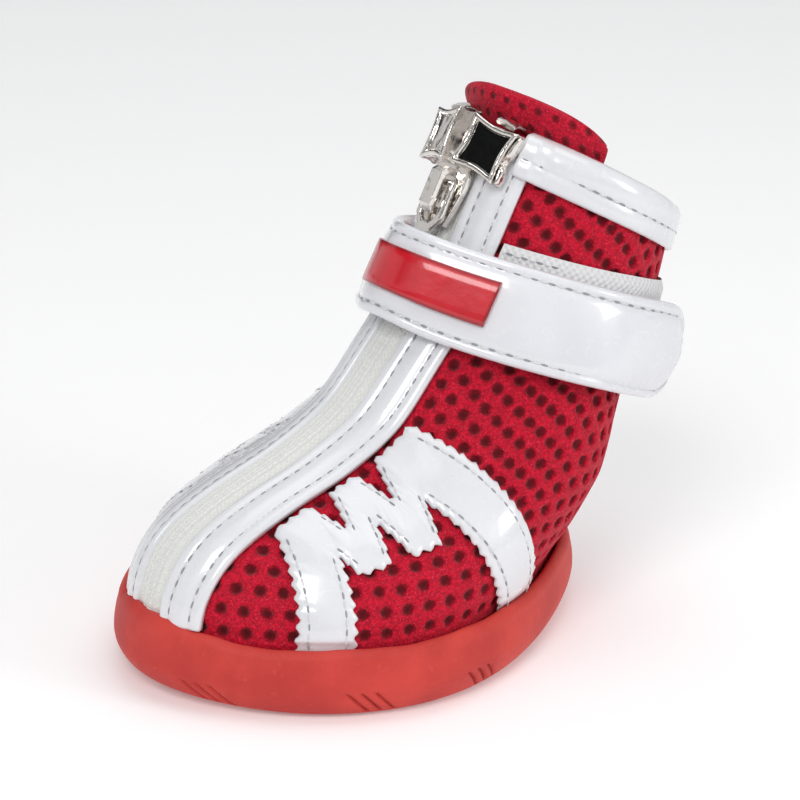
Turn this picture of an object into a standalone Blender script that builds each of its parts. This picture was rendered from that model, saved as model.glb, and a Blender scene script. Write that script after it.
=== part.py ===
"""Small dog boot: an air-mesh upper on a rubber cup sole, a zip up its front, a strap at the ankle.

Frame: +X to the toe, +Y to the boot's left, +Z up. The origin is the middle of the sole's flat
bottom. Lengths here are in millimetres and become metres where a mesh is made.
"""
import math

import bmesh
import bpy
from mathutils import Matrix, Vector

MM = 0.001
GAP = 0.3                # clearance between pieces that touch on the real boot
JOIN = 0.1               # joined blocks sink this far into each other

# Sole
SOLE_LENGTH = 51.2
SOLE_WIDTH = 38.4
SOLE_EGG = 0.19          # how much broader than an oval the outline is to the toe, narrower to the heel
SOLE_PINCH = 0.33        # how much both ends are drawn in
HEEL_ROUND = 0.3         # how much blunter than an oval every ring is at the heel
SOLE_FLOOR = 2.8         # thickness underfoot
SOLE_EDGE = 6.8          # height of the cup's rim
TOE_BUMPER = 1.1         # extra height of the rim over the toe
RIM_WALL = 1.1
RIM_TAPER = 0.8          # the rim's top stands this far inside the sole's widest line
TOE_SPRING = 1.0
SPRING_START = 13.0      # the bottom is flat up to this distance ahead of the origin
TREAD_DEPTH = 0.8
TREAD_RIB = 2.4
TREAD_GROOVE = 1.3
SIDE_CUT_LONG = 3.2      # slanting cuts low on the sole's side, in groups of three
SIDE_CUT_WIDE = 0.4
SIDE_CUT_DEEP = 0.35
SIDE_CUT_PITCH = 1.3
SIDE_CUT_HEIGHT = 1.7
SIDE_CUT_TILT = 50.0     # degrees from upright
SIDE_CUT_X = [22.2, 10.6, -1.6]          # where the middle of each group is along the sole

# Upper
UPPER_WALL = 1.4
COLLAR_FRONT_HEIGHT = 49.2
COLLAR_BACK_HEIGHT = 38.6
COLLAR_FRONT_X = -14.6
COLLAR_LENGTH = 19.3
COLLAR_WIDTH = 22.0
INSOLE_THICK = 1.6

# Zip and the strips beside it
ZIP_HALF = 2.1           # half width of the tape that shows in the front slot
COIL_HALF = 1.1
COIL_RISE = 0.6
STRIP_IN = 1.8
STRIP_OUT = 5.7
STRIP_THICK = 0.7
STRIP_LIFT = 0.4
CAP_WIDE = 4.8
CAP_TALL = 4.6
CAP_DEEP = 1.7
CAP_SHEET = 0.6
CAP_OVER = 1.0           # the cap stands this far over the collar's edge
CAP_PLACE = 2.1          # and its middle this far from the middle line
CAP_LIP_IN = 0.6         # its lip runs from this far inside its middle
CAP_LIP_OUT = 1.6        # to this far outside it
CAP_LIP_DOWN = 2.6
CAP_RIM = 0.75           # width of the raised frame on its face
CAP_SINK = 0.45
SLIDER_LONG = 6.2
SLIDER_WIDE = 4.8
SLIDER_THICK = 0.6
SLIDER_TAPER = 0.7       # how much narrower on each side its lower end is
NECK_HALF = 0.7
NECK_TALL = 1.2
BRIDGE_WIDE = 1.6
BRIDGE_THICK = 0.7
BRIDGE_UP = 2.4          # its ends stand this far above and below the slider's middle
BRIDGE_DOWN = 2.3
BRIDGE_SLOPE = 0.7       # length of its sloping shoulders
TAB_LONG = 8.0           # from its hinge line to its end
TAB_WIDE = 1.9
TAB_THICK = 0.6
TAB_EYE_WALL = 0.7
TAB_NECK = 1.2           # length over which the eye narrows to the bar
TAB_CORNER = 0.5

# Collar binding, strap and what lies under and on it
BIND_DEEP = 4.4
BIND_THICK = 0.6
BIND_INSIDE = 2.2        # depth of its fold inside the collar
STRAP_WIDE = 10.0
STRAP_THICK = 1.3
STRAP_DROP = 15.0        # its middle line at the zip is this far below the collar's front
STRAP_FRONT_Z = COLLAR_FRONT_HEIGHT - STRAP_DROP
STRAP_TAIL = 6.2         # free end past the heel
STRAP_CORNER = 3.0
STRAP_FRONT_ROOM = 1.7   # extra room over the zip for the pull tab
LOOP_WIDE = 11.0
LOOP_SHIFT = 1.2         # the woven base sits this much higher than the strap
LOOP_THICK = 0.6
LABEL_LONG = 16.0
LABEL_SHIFT = 3.2        # the label sits this far to the left of the zip
LABEL_TALL = 4.7
LABEL_RAISE = 0.4        # and this far above the strap's middle line
LABEL_THICK = 0.4

# Tongue and side overlays
TONGUE_HALF = 10.6
TONGUE_RISE = 3.9        # it stands this far above the collar's front
TONGUE_TOP = COLLAR_FRONT_HEIGHT + TONGUE_RISE
TONGUE_ROOT = 9.0        # and starts this far below the strap's middle line
TONGUE_THICK = 4.0
TONGUE_CROWN = 0.55      # its top is rounded over this many levels of the section table
TONGUE_OVER = 0.2        # it leans forward from this many levels above the collar
TONGUE_FORWARD = 3.4     # and by this much at its top
TONGUE_FLAT = 2.0        # how far its top corners stand forward and up of the shell's round form
OVERLAY_THICK = 0.6
STROKE_HALF = 1.6        # half width of the overlay's zigzag strokes
LEG_HALF = 2.2           # and of its two legs

# Sections from the rim to the collar. Each length is a blend: 0 is the ring at the sole's rim and
# 1 the collar. Egg and pinch shape the ring as they shape the sole's outline.
# Columns: front x, front height, back x, back height, half width, egg, pinch.
SECTIONS = [
    (0.000, 0.000, 0.00, 0.000, 0.00, SOLE_EGG, SOLE_PINCH),
    (0.010, 0.070, 0.08, 0.049, -0.03, 0.12, 0.32),
    (0.045, 0.138, 0.13, 0.104, 0.02, 0.00, 0.31),
    (0.105, 0.188, 0.17, 0.160, 0.10, -0.10, 0.31),
    (0.218, 0.240, 0.20, 0.212, 0.20, -0.18, 0.31),
    (0.395, 0.302, 0.23, 0.266, 0.30, -0.22, 0.30),
    (0.553, 0.380, 0.27, 0.337, 0.40, -0.20, 0.27),
    (0.678, 0.500, 0.35, 0.441, 0.53, -0.17, 0.23),
    (0.766, 0.601, 0.47, 0.526, 0.65, -0.14, 0.20),
    (0.853, 0.748, 0.72, 0.672, 0.80, -0.12, 0.17),
    (0.921, 0.870, 0.91, 0.839, 0.92, -0.10, 0.15),
    (1.000, 1.000, 1.00, 1.000, 1.00, -0.09, 0.14),
]
TOP = len(SECTIONS) - 1
FOOT = -1.0              # level of the upper's lower edge, on the sole's floor

FEATHER = RIM_TAPER + RIM_WALL + GAP     # the upper stands this far inside the sole's widest line
SLOT_HALF = ZIP_HALF + GAP
BESIDE_STRIP = STRIP_OUT + GAP + 0.2     # where what runs round the ankle starts
COLLAR_BACK_X = COLLAR_FRONT_X - COLLAR_LENGTH


def blend(a, b, share):
    return a + (b - a) * share


def spline(p0, p1, p2, p3, t):
    """Catmull-Rom curve from p1 to p2."""
    return 0.5 * (2 * p1 + (p2 - p0) * t + (2 * p0 - 5 * p1 + 4 * p2 - p3) * t * t
                  + (3 * p1 - p0 - 3 * p2 + p3) * t ** 3)


def table_row(level):
    """Row of SECTIONS at a level between its rows, straight on past the last one."""
    level = max(level, 0.0)
    i = min(int(level), TOP - 1)
    t = level - i
    pick = [SECTIONS[min(max(k, 0), TOP)] for k in (i - 1, i, i + 1, i + 2)]
    if t > 1:
        return [b + (b - a) * (t - 1) for a, b in zip(SECTIONS[-2], SECTIONS[-1])]
    return [spline(*column, t) for column in zip(*pick)]


def section(level):
    """Front x, front z, back x, back z, half width, egg and pinch of the ring at a level."""
    fx, fz, bx, bz, width, egg, pinch = table_row(level)
    reach = SOLE_LENGTH / 2 - FEATHER
    sink = min(level, 0.0) * (SOLE_EDGE - SOLE_FLOOR - GAP)
    return (blend(reach, COLLAR_FRONT_X, fx),
            blend(SOLE_EDGE, COLLAR_FRONT_HEIGHT, fz) + sink,
            blend(-reach, COLLAR_BACK_X, bx),
            blend(SOLE_EDGE, COLLAR_BACK_HEIGHT, bz) + sink,
            blend(SOLE_WIDTH / 2 - FEATHER, COLLAR_WIDTH / 2, width),
            egg, pinch)


def bulge(angle, egg, pinch):
    """Half width of an egg-shaped ring as a share of its widest line."""
    c, s = math.cos(angle), math.sin(angle)
    blunt = max(abs(s), 1e-9) ** (-HEEL_ROUND * (1 - c) / 2)
    return s * blunt * (1 + egg * c - pinch * c * c)


def on_ring(ring, angle):
    fx, fz, bx, bz, width, egg, pinch = ring
    c = math.cos(angle)
    return Vector(((fx + bx) / 2 + (fx - bx) / 2 * c,
                   width * bulge(angle, egg, pinch),
                   (fz + bz) / 2 + (fz - bz) / 2 * c))


def slopes(level, angle):
    """Point and its two tangents on the upper's outer face: round the foot, and up it."""
    step = 0.02
    low = on_ring(section(level - step), angle)
    high = on_ring(section(level + step), angle)
    left = on_ring(section(level), angle + step)
    right = on_ring(section(level), angle - step)
    return on_ring(section(level), angle), (left - right) / (2 * step), (high - low) / (2 * step)


def skin(level, angle, off=0.0):
    """Point on the upper's outer face, or off it along its normal."""
    if not off:
        return on_ring(section(level), angle)
    point, around, up = slopes(level, angle)
    return point + around.cross(up).normalized() * off


def angle_at(level, y):
    """Angle where the ring's front part is y away from the middle line."""
    ring = section(level)
    low, high = 0.0, math.pi / 2
    for _ in range(24):
        mid = (low + high) / 2
        if on_ring(ring, mid).y < abs(y):
            low = mid
        else:
            high = mid
    return math.copysign(low, y)


def beside(level, y, off=0.0):
    """Point at a distance y from the middle line of the front."""
    return skin(level, angle_at(level, y), off)


def front_level(height):
    """Level whose ring passes the front at a height."""
    low, high = 0.0, float(TOP)
    for _ in range(24):
        mid = (low + high) / 2
        if section(mid)[1] < height:
            low = mid
        else:
            high = mid
    return low


def below_top(angle, down):
    """Level that lies a distance below the collar's edge."""
    return TOP - down / slopes(TOP - 0.5, angle)[2].length


def steps(start, end, count):
    return [blend(start, end, i / (count - 1)) for i in range(count)]


def material(name, color, rough, metal=0.0):
    mat = bpy.data.materials.new(name)
    mat.use_nodes = True
    shader = mat.node_tree.nodes["Principled BSDF"]
    shader.inputs["Base Color"].default_value = (*color, 1.0)
    shader.inputs["Roughness"].default_value = rough
    shader.inputs["Metallic"].default_value = metal
    mat.diffuse_color = (*color, 1.0)
    return mat


def finish(name, points, faces, color, rough, metal=0.0, smooth=True):
    """Object from points in millimetres, its faces turned outwards."""
    mesh = bpy.data.meshes.new(name)
    mesh.from_pydata([Vector(p) * MM for p in points], [], faces)
    work = bmesh.new()
    work.from_mesh(mesh)
    bmesh.ops.recalc_face_normals(work, faces=work.faces)
    work.to_mesh(mesh)
    work.free()
    if smooth:
        mesh.shade_smooth()
        mesh.set_sharp_from_angle(angle=math.radians(40))
    obj = bpy.data.objects.new(name, mesh)
    obj.data.materials.append(material(name + "_finish", color, rough, metal))
    bpy.context.scene.collection.objects.link(obj)
    return obj


def loft(rings, closed=False):
    """Points and quads of a body swept through rings of equal length. The open ends are closed by
    rungs between the two halves of the end ring."""
    count = len(rings[0])
    points = [p for ring in rings for p in ring]
    faces = []
    spans = len(rings) if closed else len(rings) - 1
    for i in range(spans):
        a = i * count
        b = (i + 1) % len(rings) * count
        for j in range(count):
            k = (j + 1) % count
            faces.append((a + j, a + k, b + k, b + j))
    if not closed:
        for start in (0, (len(rings) - 1) * count):
            for j in range(count // 2 - 1):
                faces.append((start + j, start + j + 1, start + count - 2 - j, start + count - 1 - j))
    return points, faces


RED = (0.55, 0.004, 0.022)
WHITE = (0.80, 0.80, 0.84)
RUBBER = (0.52, 0.032, 0.028)
METAL = (0.72, 0.70, 0.67)


def sole_outline(inset, angle):
    return ((SOLE_LENGTH / 2 - inset) * math.cos(angle),
            (SOLE_WIDTH / 2 - inset) * bulge(angle, SOLE_EGG, SOLE_PINCH))


def bumper(angle):
    """Share of the toe bumper's rise: whole at the toe, none past its sides."""
    spread = math.radians(42)
    off = abs(math.remainder(angle, 2 * math.pi))
    return 0.5 + 0.5 * math.cos(math.pi * min(off / spread, 1.0))


def build_outsole():
    """Cup sole. Rings run from the floor inside, over the rim, down the side and in under the tread."""
    around = 56
    inner = RIM_TAPER + RIM_WALL
    tread_start = 2.2
    # Columns: inset from the widest line, height, share of the toe bumper's rise.
    side = [
        (inner, SOLE_FLOOR, 0.0),
        (inner, SOLE_EDGE - 0.35, 1.0),
        (inner - 0.35, SOLE_EDGE, 1.0),
        (RIM_TAPER + 0.15, SOLE_EDGE - 0.05, 1.0),
        (RIM_TAPER - 0.3, SOLE_EDGE - 0.7, 0.85),
        (0.15, 0.7 * SOLE_EDGE, 0.3),
        (0.0, 0.45 * SOLE_EDGE, 0.0),
        (0.5, 0.22 * SOLE_EDGE, 0.0),
        (1.2, 0.07 * SOLE_EDGE, 0.0),
        (tread_start, 0.0, 0.0),
    ]
    inset = tread_start + TREAD_RIB
    wall = 0.25
    for _ in range(3):
        side += [(inset, 0.0, 0.0), (inset + wall, TREAD_DEPTH, 0.0),
                 (inset + wall + TREAD_GROOVE, TREAD_DEPTH, 0.0), (inset + 2 * wall + TREAD_GROOVE, 0.0, 0.0)]
        inset += 2 * wall + TREAD_GROOVE + TREAD_RIB
    rings = []
    for inset, height, rise in side:
        ring = []
        for j in range(around):
            angle = 2 * math.pi * j / around
            x, y = sole_outline(inset, angle)
            z = height + TOE_BUMPER * rise * bumper(angle)
            outside = inset < inner - 0.1 or height < SOLE_FLOOR
            if outside and z < SOLE_EDGE / 2:
                spring = max(0.0, (x - SPRING_START) / (SOLE_LENGTH / 2 - SPRING_START))
                z += TOE_SPRING * spring ** 2 * (1 - z / (SOLE_EDGE / 2))
            ring.append(Vector((x, y, z)))
        rings.append(ring)
    points, faces = [p for ring in rings for p in ring], []
    for i in range(len(rings) - 1):
        for j in range(around):
            k = (j + 1) % around
            faces.append((i * around + j, i * around + k, (i + 1) * around + k, (i + 1) * around + j))
    faces.append(tuple(range(around)))
    faces.append(tuple(range((len(rings) - 1) * around, len(rings) * around)))
    body = finish("outsole", points, faces, RUBBER, 0.6)
    cuts = [side_cut(x, k * SIDE_CUT_PITCH, side) for x in SIDE_CUT_X for k in (-1, 0, 1) for side in (1, -1)]
    return merge(body, cuts, "DIFFERENCE")


def side_cut(x, along_side, side):
    """Cutter for one slanting cut where the sole's side turns in under the foot, at a distance along
    the outline from the place x."""
    inset = 0.75
    angle, step = side * math.acos(x / (SOLE_LENGTH / 2 - inset)), side * 0.05
    ahead = Vector(sole_outline(inset, angle - step)) - Vector(sole_outline(inset, angle + step))
    angle -= along_side * 2 * step / ahead.length
    ahead = Vector(sole_outline(inset, angle - step)) - Vector(sole_outline(inset, angle + step))
    along = Vector((*ahead, 0.0)).normalized()
    out = (along.cross(Vector((0, 0, 1))) * side * -1.0 - Vector((0, 0, 0.9))).normalized()
    up = out.cross(along).normalized()
    turn = Matrix.Rotation(math.radians(SIDE_CUT_TILT), 3, out)
    frame = Matrix((turn @ along, turn @ up, out)).transposed().to_4x4()
    frame.translation = Vector((*sole_outline(inset, angle), SIDE_CUT_HEIGHT))
    half, tall = SIDE_CUT_WIDE / 2, SIDE_CUT_LONG / 2
    outline = [(-half, -tall), (half, -tall), (half, tall), (-half, tall)]
    return prism("side_cut", frame, outline, -SIDE_CUT_DEEP, 2.0, RUBBER, 0.6, 0.0)


def build_insole():
    inset = FEATHER + UPPER_WALL + 2 * GAP
    low = SOLE_FLOOR + GAP
    around = 40
    edge = 0.5
    levels = [(inset + edge, low), (inset, low + edge), (inset, low + INSOLE_THICK - edge),
              (inset + edge, low + INSOLE_THICK)]
    points, faces = [], []
    for shrink, height in levels:
        for j in range(around):
            x, y = sole_outline(shrink, 2 * math.pi * j / around)
            points.append(Vector((x, y, height)))
    for i in range(len(levels) - 1):
        for j in range(around):
            k = (j + 1) % around
            faces.append((i * around + j, i * around + k, (i + 1) * around + k, (i + 1) * around + j))
    faces.append(tuple(range(around)))
    faces.append(tuple(range((len(levels) - 1) * around, len(levels) * around)))
    return finish("insole", points, faces, (0.30, 0.30, 0.32), 0.9)


def build_upper():
    """Hollow shell, open at the collar, underneath and along the front slot that holds the zip."""
    levels = [FOOT, -0.02] + steps(0.5, TOP, 2 * TOP)
    rings = []
    for share in steps(0.0, 1.0, 31):
        outer, inner = [], []
        for level in levels:
            start = angle_at(level, SLOT_HALF)
            angle = blend(start, 2 * math.pi - start, share)
            outer.append(skin(level, angle))
            inner.append(skin(level, angle, -UPPER_WALL))
        rings.append(outer + inner[::-1])
    points, faces = loft(rings)
    return finish("upper_shell", points, faces, RED, 0.9)


def front_start():
    """Level just over the toe bumper, where the zip and its strips begin."""
    return front_level(SOLE_EDGE + TOE_BUMPER + GAP)


def build_zip_tape():
    """Tape in the front slot with its raised closed coil, up to the slider's neck."""
    end = below_top(0.0, CAP_TALL + 6 * GAP + NECK_TALL)
    low, flat, crest = -UPPER_WALL + GAP, 0.1, COIL_RISE + 0.1
    half = [(ZIP_HALF, flat), (COIL_HALF + 0.3, flat), (COIL_HALF, crest)]
    top = [(-y, off) for y, off in half] + [(y, off) for y, off in half[::-1]]
    rings = []
    for level in steps(front_start(), end, 26):
        upper = [beside(level, y, off) for y, off in top]
        lower = [beside(level, y, low) for y, _ in top[::-1]]
        rings.append(upper + lower)
    points, faces = loft(rings)
    return finish("zip_tape", points, faces, WHITE, 0.7)


def build_strip(side, name):
    """Patent strip that covers the join of mesh and zip tape on one side."""
    low = STRIP_LIFT
    high = STRIP_LIFT + STRIP_THICK
    edge = 0.25
    rings = []
    for level in steps(front_start(), TOP - 0.05, 26):
        top = [(STRIP_IN, high - edge), (STRIP_IN + edge, high), (blend(STRIP_IN, STRIP_OUT, 0.5), high),
               (STRIP_OUT - edge, high), (STRIP_OUT, high - edge)]
        upper = [beside(level, side * y, off) for y, off in top]
        lower = [beside(level, side * y, low) for y, _ in top[::-1]]
        rings.append(upper + lower)
    points, faces = loft(rings)
    return finish(name, points, faces, WHITE, 0.25)


def build_collar_binding():
    """Patent band folded over the collar's edge, from one strip round the back to the other."""
    out = GAP + BIND_THICK
    back = -UPPER_WALL - GAP
    # Columns: distance off the shell's outer face, distance below the collar's edge.
    outer = [(out, BIND_DEEP), (out, BIND_DEEP / 2), (out, -0.5), (GAP, -GAP - BIND_THICK),
             (back, -GAP - BIND_THICK), (back - BIND_THICK, -0.5), (back - BIND_THICK, BIND_INSIDE)]
    inner = [(GAP, BIND_DEEP), (GAP, BIND_DEEP / 2), (GAP, 0.0), (GAP, -GAP), (back, -GAP), (back, 0.0),
             (back, BIND_INSIDE)]
    start = angle_at(TOP, BESIDE_STRIP)
    rings = []
    for angle in steps(start, 2 * math.pi - start, 34):
        rings.append([skin(below_top(angle, down), angle, off) for off, down in outer + inner[::-1]])
    points, faces = loft(rings)
    return finish("collar_binding", points, faces, WHITE, 0.25)


def strap_line(angle):
    """Level of the strap's middle line: the strap falls a little less to the back than the rings do."""
    fall = -0.28
    return front_level(STRAP_FRONT_Z) - fall * (1 - math.cos(angle)) / 2


def band_level(angle, shift):
    """Level that lies a distance above the strap's middle line."""
    level = strap_line(angle)
    rough = level + shift / slopes(level, angle)[2].length
    return level + shift / slopes((level + rough) / 2, angle)[2].length


def build_loop_tape():
    """Woven base that the strap closes on, round the left side and the heel."""
    out = GAP + LOOP_THICK
    start = angle_at(front_level(STRAP_FRONT_Z), BESIDE_STRIP)
    rings = []
    for angle in steps(start, math.radians(215), 24):
        top = min(band_level(angle, LOOP_SHIFT + LOOP_WIDE / 2), below_top(angle, BIND_DEEP + 2 * GAP))
        levels = steps(top, band_level(angle, LOOP_SHIFT - LOOP_WIDE / 2), 5)
        upper = [skin(level, angle, out) for level in levels]
        lower = [skin(level, angle, GAP) for level in levels[::-1]]
        rings.append(upper + lower)
    points, faces = loft(rings)
    return finish("loop_tape", points, faces, WHITE, 0.95)


def strap_off(angle):
    """Distance of the strap's inner face from the shell: it clears the strips and, at the front, the
    pull tab, and comes down to be sewn on at its root."""
    sewn = min(max((angle - STRAP_ROOT) / STRAP_SEWN, 0.0), 1.0)
    clear = blend(GAP, STRIP_LIFT + STRIP_THICK + GAP, sewn * sewn * (3 - 2 * sewn))
    room = STRAP_FRONT_ROOM * math.exp(-(math.degrees(angle) / 22) ** 2)
    return clear + room


STRAP_ROOT = math.radians(-135)
STRAP_LEAVE = math.radians(112)
STRAP_SEWN = math.radians(40)    # the strap comes up off the shell over this angle from its root


def strap_point(angle, shift, off):
    return skin(band_level(angle, shift), angle, strap_off(angle) + off)


def build_strap():
    shifts = steps(STRAP_WIDE / 2, -STRAP_WIDE / 2, 5)
    rings = []
    for angle in steps(STRAP_ROOT, STRAP_LEAVE, 34):
        rings.append([strap_point(angle, s, STRAP_THICK) for s in shifts]
                     + [strap_point(angle, s, 0.0) for s in shifts[::-1]])
    last, before = rings[-1], rings[-2]
    for share in (0.2, 0.4, 0.6, 0.8, 0.9, 0.96, 1.0):
        run = STRAP_TAIL * share
        past = max(0.0, run - (STRAP_TAIL - STRAP_CORNER)) / STRAP_CORNER
        trim = 1 - (1 - math.sqrt(max(0.0, 1 - past * past))) * 2 * STRAP_CORNER / STRAP_WIDE
        middle = sum(last, Vector()) / len(last)
        ahead = (middle - sum(before, Vector()) / len(before)).normalized()
        across = (last[0] - last[4]).normalized()
        ring = []
        for p in last:
            side = (p - middle).dot(across)
            ring.append(p + ahead * run + across * side * (trim - 1))
        rings.append(ring)
    points, faces = loft(rings)
    return finish("ankle_strap", points, faces, WHITE, 0.25)


def build_label():
    """Flat patch on the strap over the zip, left bare."""
    radius = (strap_point(0.0, 0.0, STRAP_THICK) - strap_point(0.2, 0.0, STRAP_THICK)).length / 0.2
    reach = LABEL_LONG / 2 / radius
    low = STRAP_THICK + GAP
    high = low + LABEL_THICK
    shifts = steps(LABEL_RAISE + LABEL_TALL / 2, LABEL_RAISE - LABEL_TALL / 2, 3)
    rings = []
    middle = LABEL_SHIFT / radius
    for angle in steps(middle - reach, middle + reach, 13):
        rings.append([strap_point(angle, s, high) for s in shifts]
                     + [strap_point(angle, s, low) for s in shifts[::-1]])
    points, faces = loft(rings)
    return finish("strap_label", points, faces, (0.62, 0.01, 0.015), 0.25)


def build_tongue():
    """Padded tongue that follows the inside of the throat and stands up behind the caps."""
    root = front_level(STRAP_FRONT_Z - TONGUE_ROOT)
    tip = TOP + (TONGUE_TOP - COLLAR_FRONT_HEIGHT) / (section(TOP)[1] - section(TOP - 1)[1])
    crown = tip - TONGUE_CROWN
    clear = UPPER_WALL + CAP_SHEET + 3 * GAP
    rings = []
    rounding = [blend(crown, tip, t) for t in (0.0, 0.25, 0.5, 0.7, 0.85, 0.95, 1.0)]
    for level in steps(root, crown, 8)[:-1] + rounding:
        past = max(0.0, (level - crown) / (tip - crown))
        half = TONGUE_HALF * max(math.sqrt(1 - past ** 2.5), 0.3)
        thick = TONGUE_THICK * (0.5 if level in (root, tip) else 1.0)
        rise = min(max((level - TOP - TONGUE_OVER) / (tip - TOP - TONGUE_OVER), 0.0), 1.0)
        forward = TONGUE_FORWARD * rise * (2 - rise)
        front, back = [], []
        for share in steps(-1.0, 1.0, 9):
            slim = thick / 2 * (1 - math.sqrt(max(1 - share * share, 0.1)))
            angle = angle_at(level, half * share)
            square = Vector((TONGUE_FLAT, 0.0, TONGUE_FLAT)) * rise * (half * share / TONGUE_HALF) ** 2
            front.append(skin(level, angle, forward - clear - slim) + square)
            back.append(skin(level, angle, forward - clear - thick + slim) + square)
        rings.append(front + back[::-1])
    points, faces = loft(rings)
    return finish("tongue", points, faces, RED, 0.95)


def down_side(x, side):
    """Levels and angles on the vertical slice at x, from the ridge down to the rim, each with its
    distance from the ridge along the surface and its distance from the middle line."""
    low, high = 0.0, float(TOP)
    for _ in range(24):
        mid = (low + high) / 2
        if section(mid)[0] > x:
            low = mid
        else:
            high = mid
    run, rows, last = 0.0, [], None
    for level in steps(low, 0.0, 30):
        ring = section(level)
        share = (x - (ring[0] + ring[2]) / 2) / ((ring[0] - ring[2]) / 2)
        angle = side * math.acos(min(max(share, -1.0), 1.0))
        point = on_ring(ring, angle)
        run += (point - last).length if last else 0.0
        last = point
        rows.append((run, level, angle, abs(point.y)))
    return rows


def chart(x, share, side):
    """Level and angle on the side of the vamp: share 0 is the strip's edge and 1 the sole's rim."""
    rows = down_side(x, side)
    start = next(run for run, _, _, y in rows if y >= STRIP_OUT + GAP)
    want = blend(start, rows[-1][0] - 2 * GAP, share)
    for (r0, l0, a0, _), (r1, l1, a1, _) in zip(rows, rows[1:]):
        if r1 >= want:
            t = (want - r0) / (r1 - r0)
            return blend(l0, l1, t), blend(a0, a1, t)
    return rows[-1][1], rows[-1][2]


# Middle line of the side overlay, a zigzag band: x, and share from the strip's edge to the rim.
ZIGZAG = [
    (13.8, 1.00),
    (11.9, 0.02),
    (8.0, 0.52),
    (6.5, 0.02),
    (2.9, 0.52),
    (1.4, 0.02),
    (-8.3, 1.00),
]


def zigzag_rungs():
    """Rungs across the zigzag band in chart terms, each a pair of upper and lower end. A fold of the
    band has two rungs, which meet at its inner corner and stand apart at its cut outer end."""
    tall = SOLE_WIDTH / 3.2          # rough length of the vamp's side, for the band's even width
    halves = []
    for (x0, s0), (x1, s1) in zip(ZIGZAG, ZIGZAG[1:]):
        slant = math.hypot(x1 - x0, (s1 - s0) * tall) / abs((s1 - s0) * tall)
        leg = max(s0, s1) == 1.0
        halves.append((LEG_HALF if leg else STROKE_HALF) * slant)
    first, last = ZIGZAG[0], ZIGZAG[-1]
    corner = 0.12                    # the two inner ends stand this far either side of the corner
    rungs = [((first[0] + halves[0], first[1]), (first[0] - halves[0], first[1]))]
    for i in range(1, len(ZIGZAG) - 1):
        (xa, sa), (x, s), (xb, sb) = ZIGZAG[i - 1:i + 2]
        ha, hb = halves[i - 1], halves[i]
        slope_a, slope_b = (xa - x) / (sa - s), (xb - x) / (sb - s)
        reach = (ha + hb) / (slope_a - slope_b)
        inner_x = x - ha + slope_a * reach
        inner = [(inner_x + corner, s + reach), (inner_x - corner, s + reach)]
        outer = [(x + ha, s), (x - hb, s)]
        for one, two in zip(outer, inner):
            rungs.append((one, two) if reach > 0 else (two, one))
    rungs.append(((last[0] - halves[-1], last[1]), (last[0] + halves[-1], last[1])))
    return rungs


def build_overlay(side, name):
    """Zigzag band from the rim up to the strip three times and back down to the rim."""
    rings = []
    rungs = zigzag_rungs()
    for i, (rung, following) in enumerate(zip(rungs, rungs[1:] + rungs[-1:])):
        segments = 8 if i == len(rungs) - 2 else 5
        count = 1 if i == len(rungs) - 1 or i % 2 else segments
        for t in [k / count for k in range(count)]:
            ends = [[blend(p, q, t) for p, q in zip(rung[e], following[e])] for e in (0, 1)]
            spots = [chart(blend(ends[0][0], ends[1][0], u), blend(ends[0][1], ends[1][1], u), side)
                     for u in steps(0.0, 1.0, 5)]
            rings.append([skin(*spot, GAP + OVERLAY_THICK) for spot in spots]
                         + [skin(*spot, GAP) for spot in spots[::-1]])
    points, faces = loft(rings)
    return finish(name, points, faces, WHITE, 0.2)


def stand(level, y, off=0.0):
    """Frame on the shell's front: x across, y up the front, z outwards."""
    point, around, up = slopes(level, angle_at(level, y) if y else 0.0)
    out = around.cross(up).normalized()
    across = around.normalized()
    frame = Matrix((across, out.cross(across), out)).transposed().to_4x4()
    frame.translation = point + out * off
    return frame


def prism(name, frame, outline, low, high, color, rough, metal):
    """Flat outline in a frame's x and y, extruded from low to high along its z."""
    count = len(outline)
    points = [frame @ Vector((x, y, z)) for z in (low, high) for x, y in outline]
    faces = [tuple(range(count)), tuple(range(count, 2 * count))]
    faces += [(j, (j + 1) % count, count + (j + 1) % count, count + j) for j in range(count)]
    return finish(name, points, faces, color, rough, metal, smooth=False)


def merge(base, others, operation="UNION"):
    """Join or cut solids with exact Booleans and drop the tools."""
    for other in others:
        mod = base.modifiers.new(operation.lower(), "BOOLEAN")
        mod.operation = operation
        mod.solver = "EXACT"
        mod.object = other
    bpy.context.view_layer.update()
    mesh = bpy.data.meshes.new_from_object(base.evaluated_get(bpy.context.evaluated_depsgraph_get()))
    base.modifiers.clear()
    base.data = mesh
    for other in others:
        bpy.data.objects.remove(other)
    return base


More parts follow.
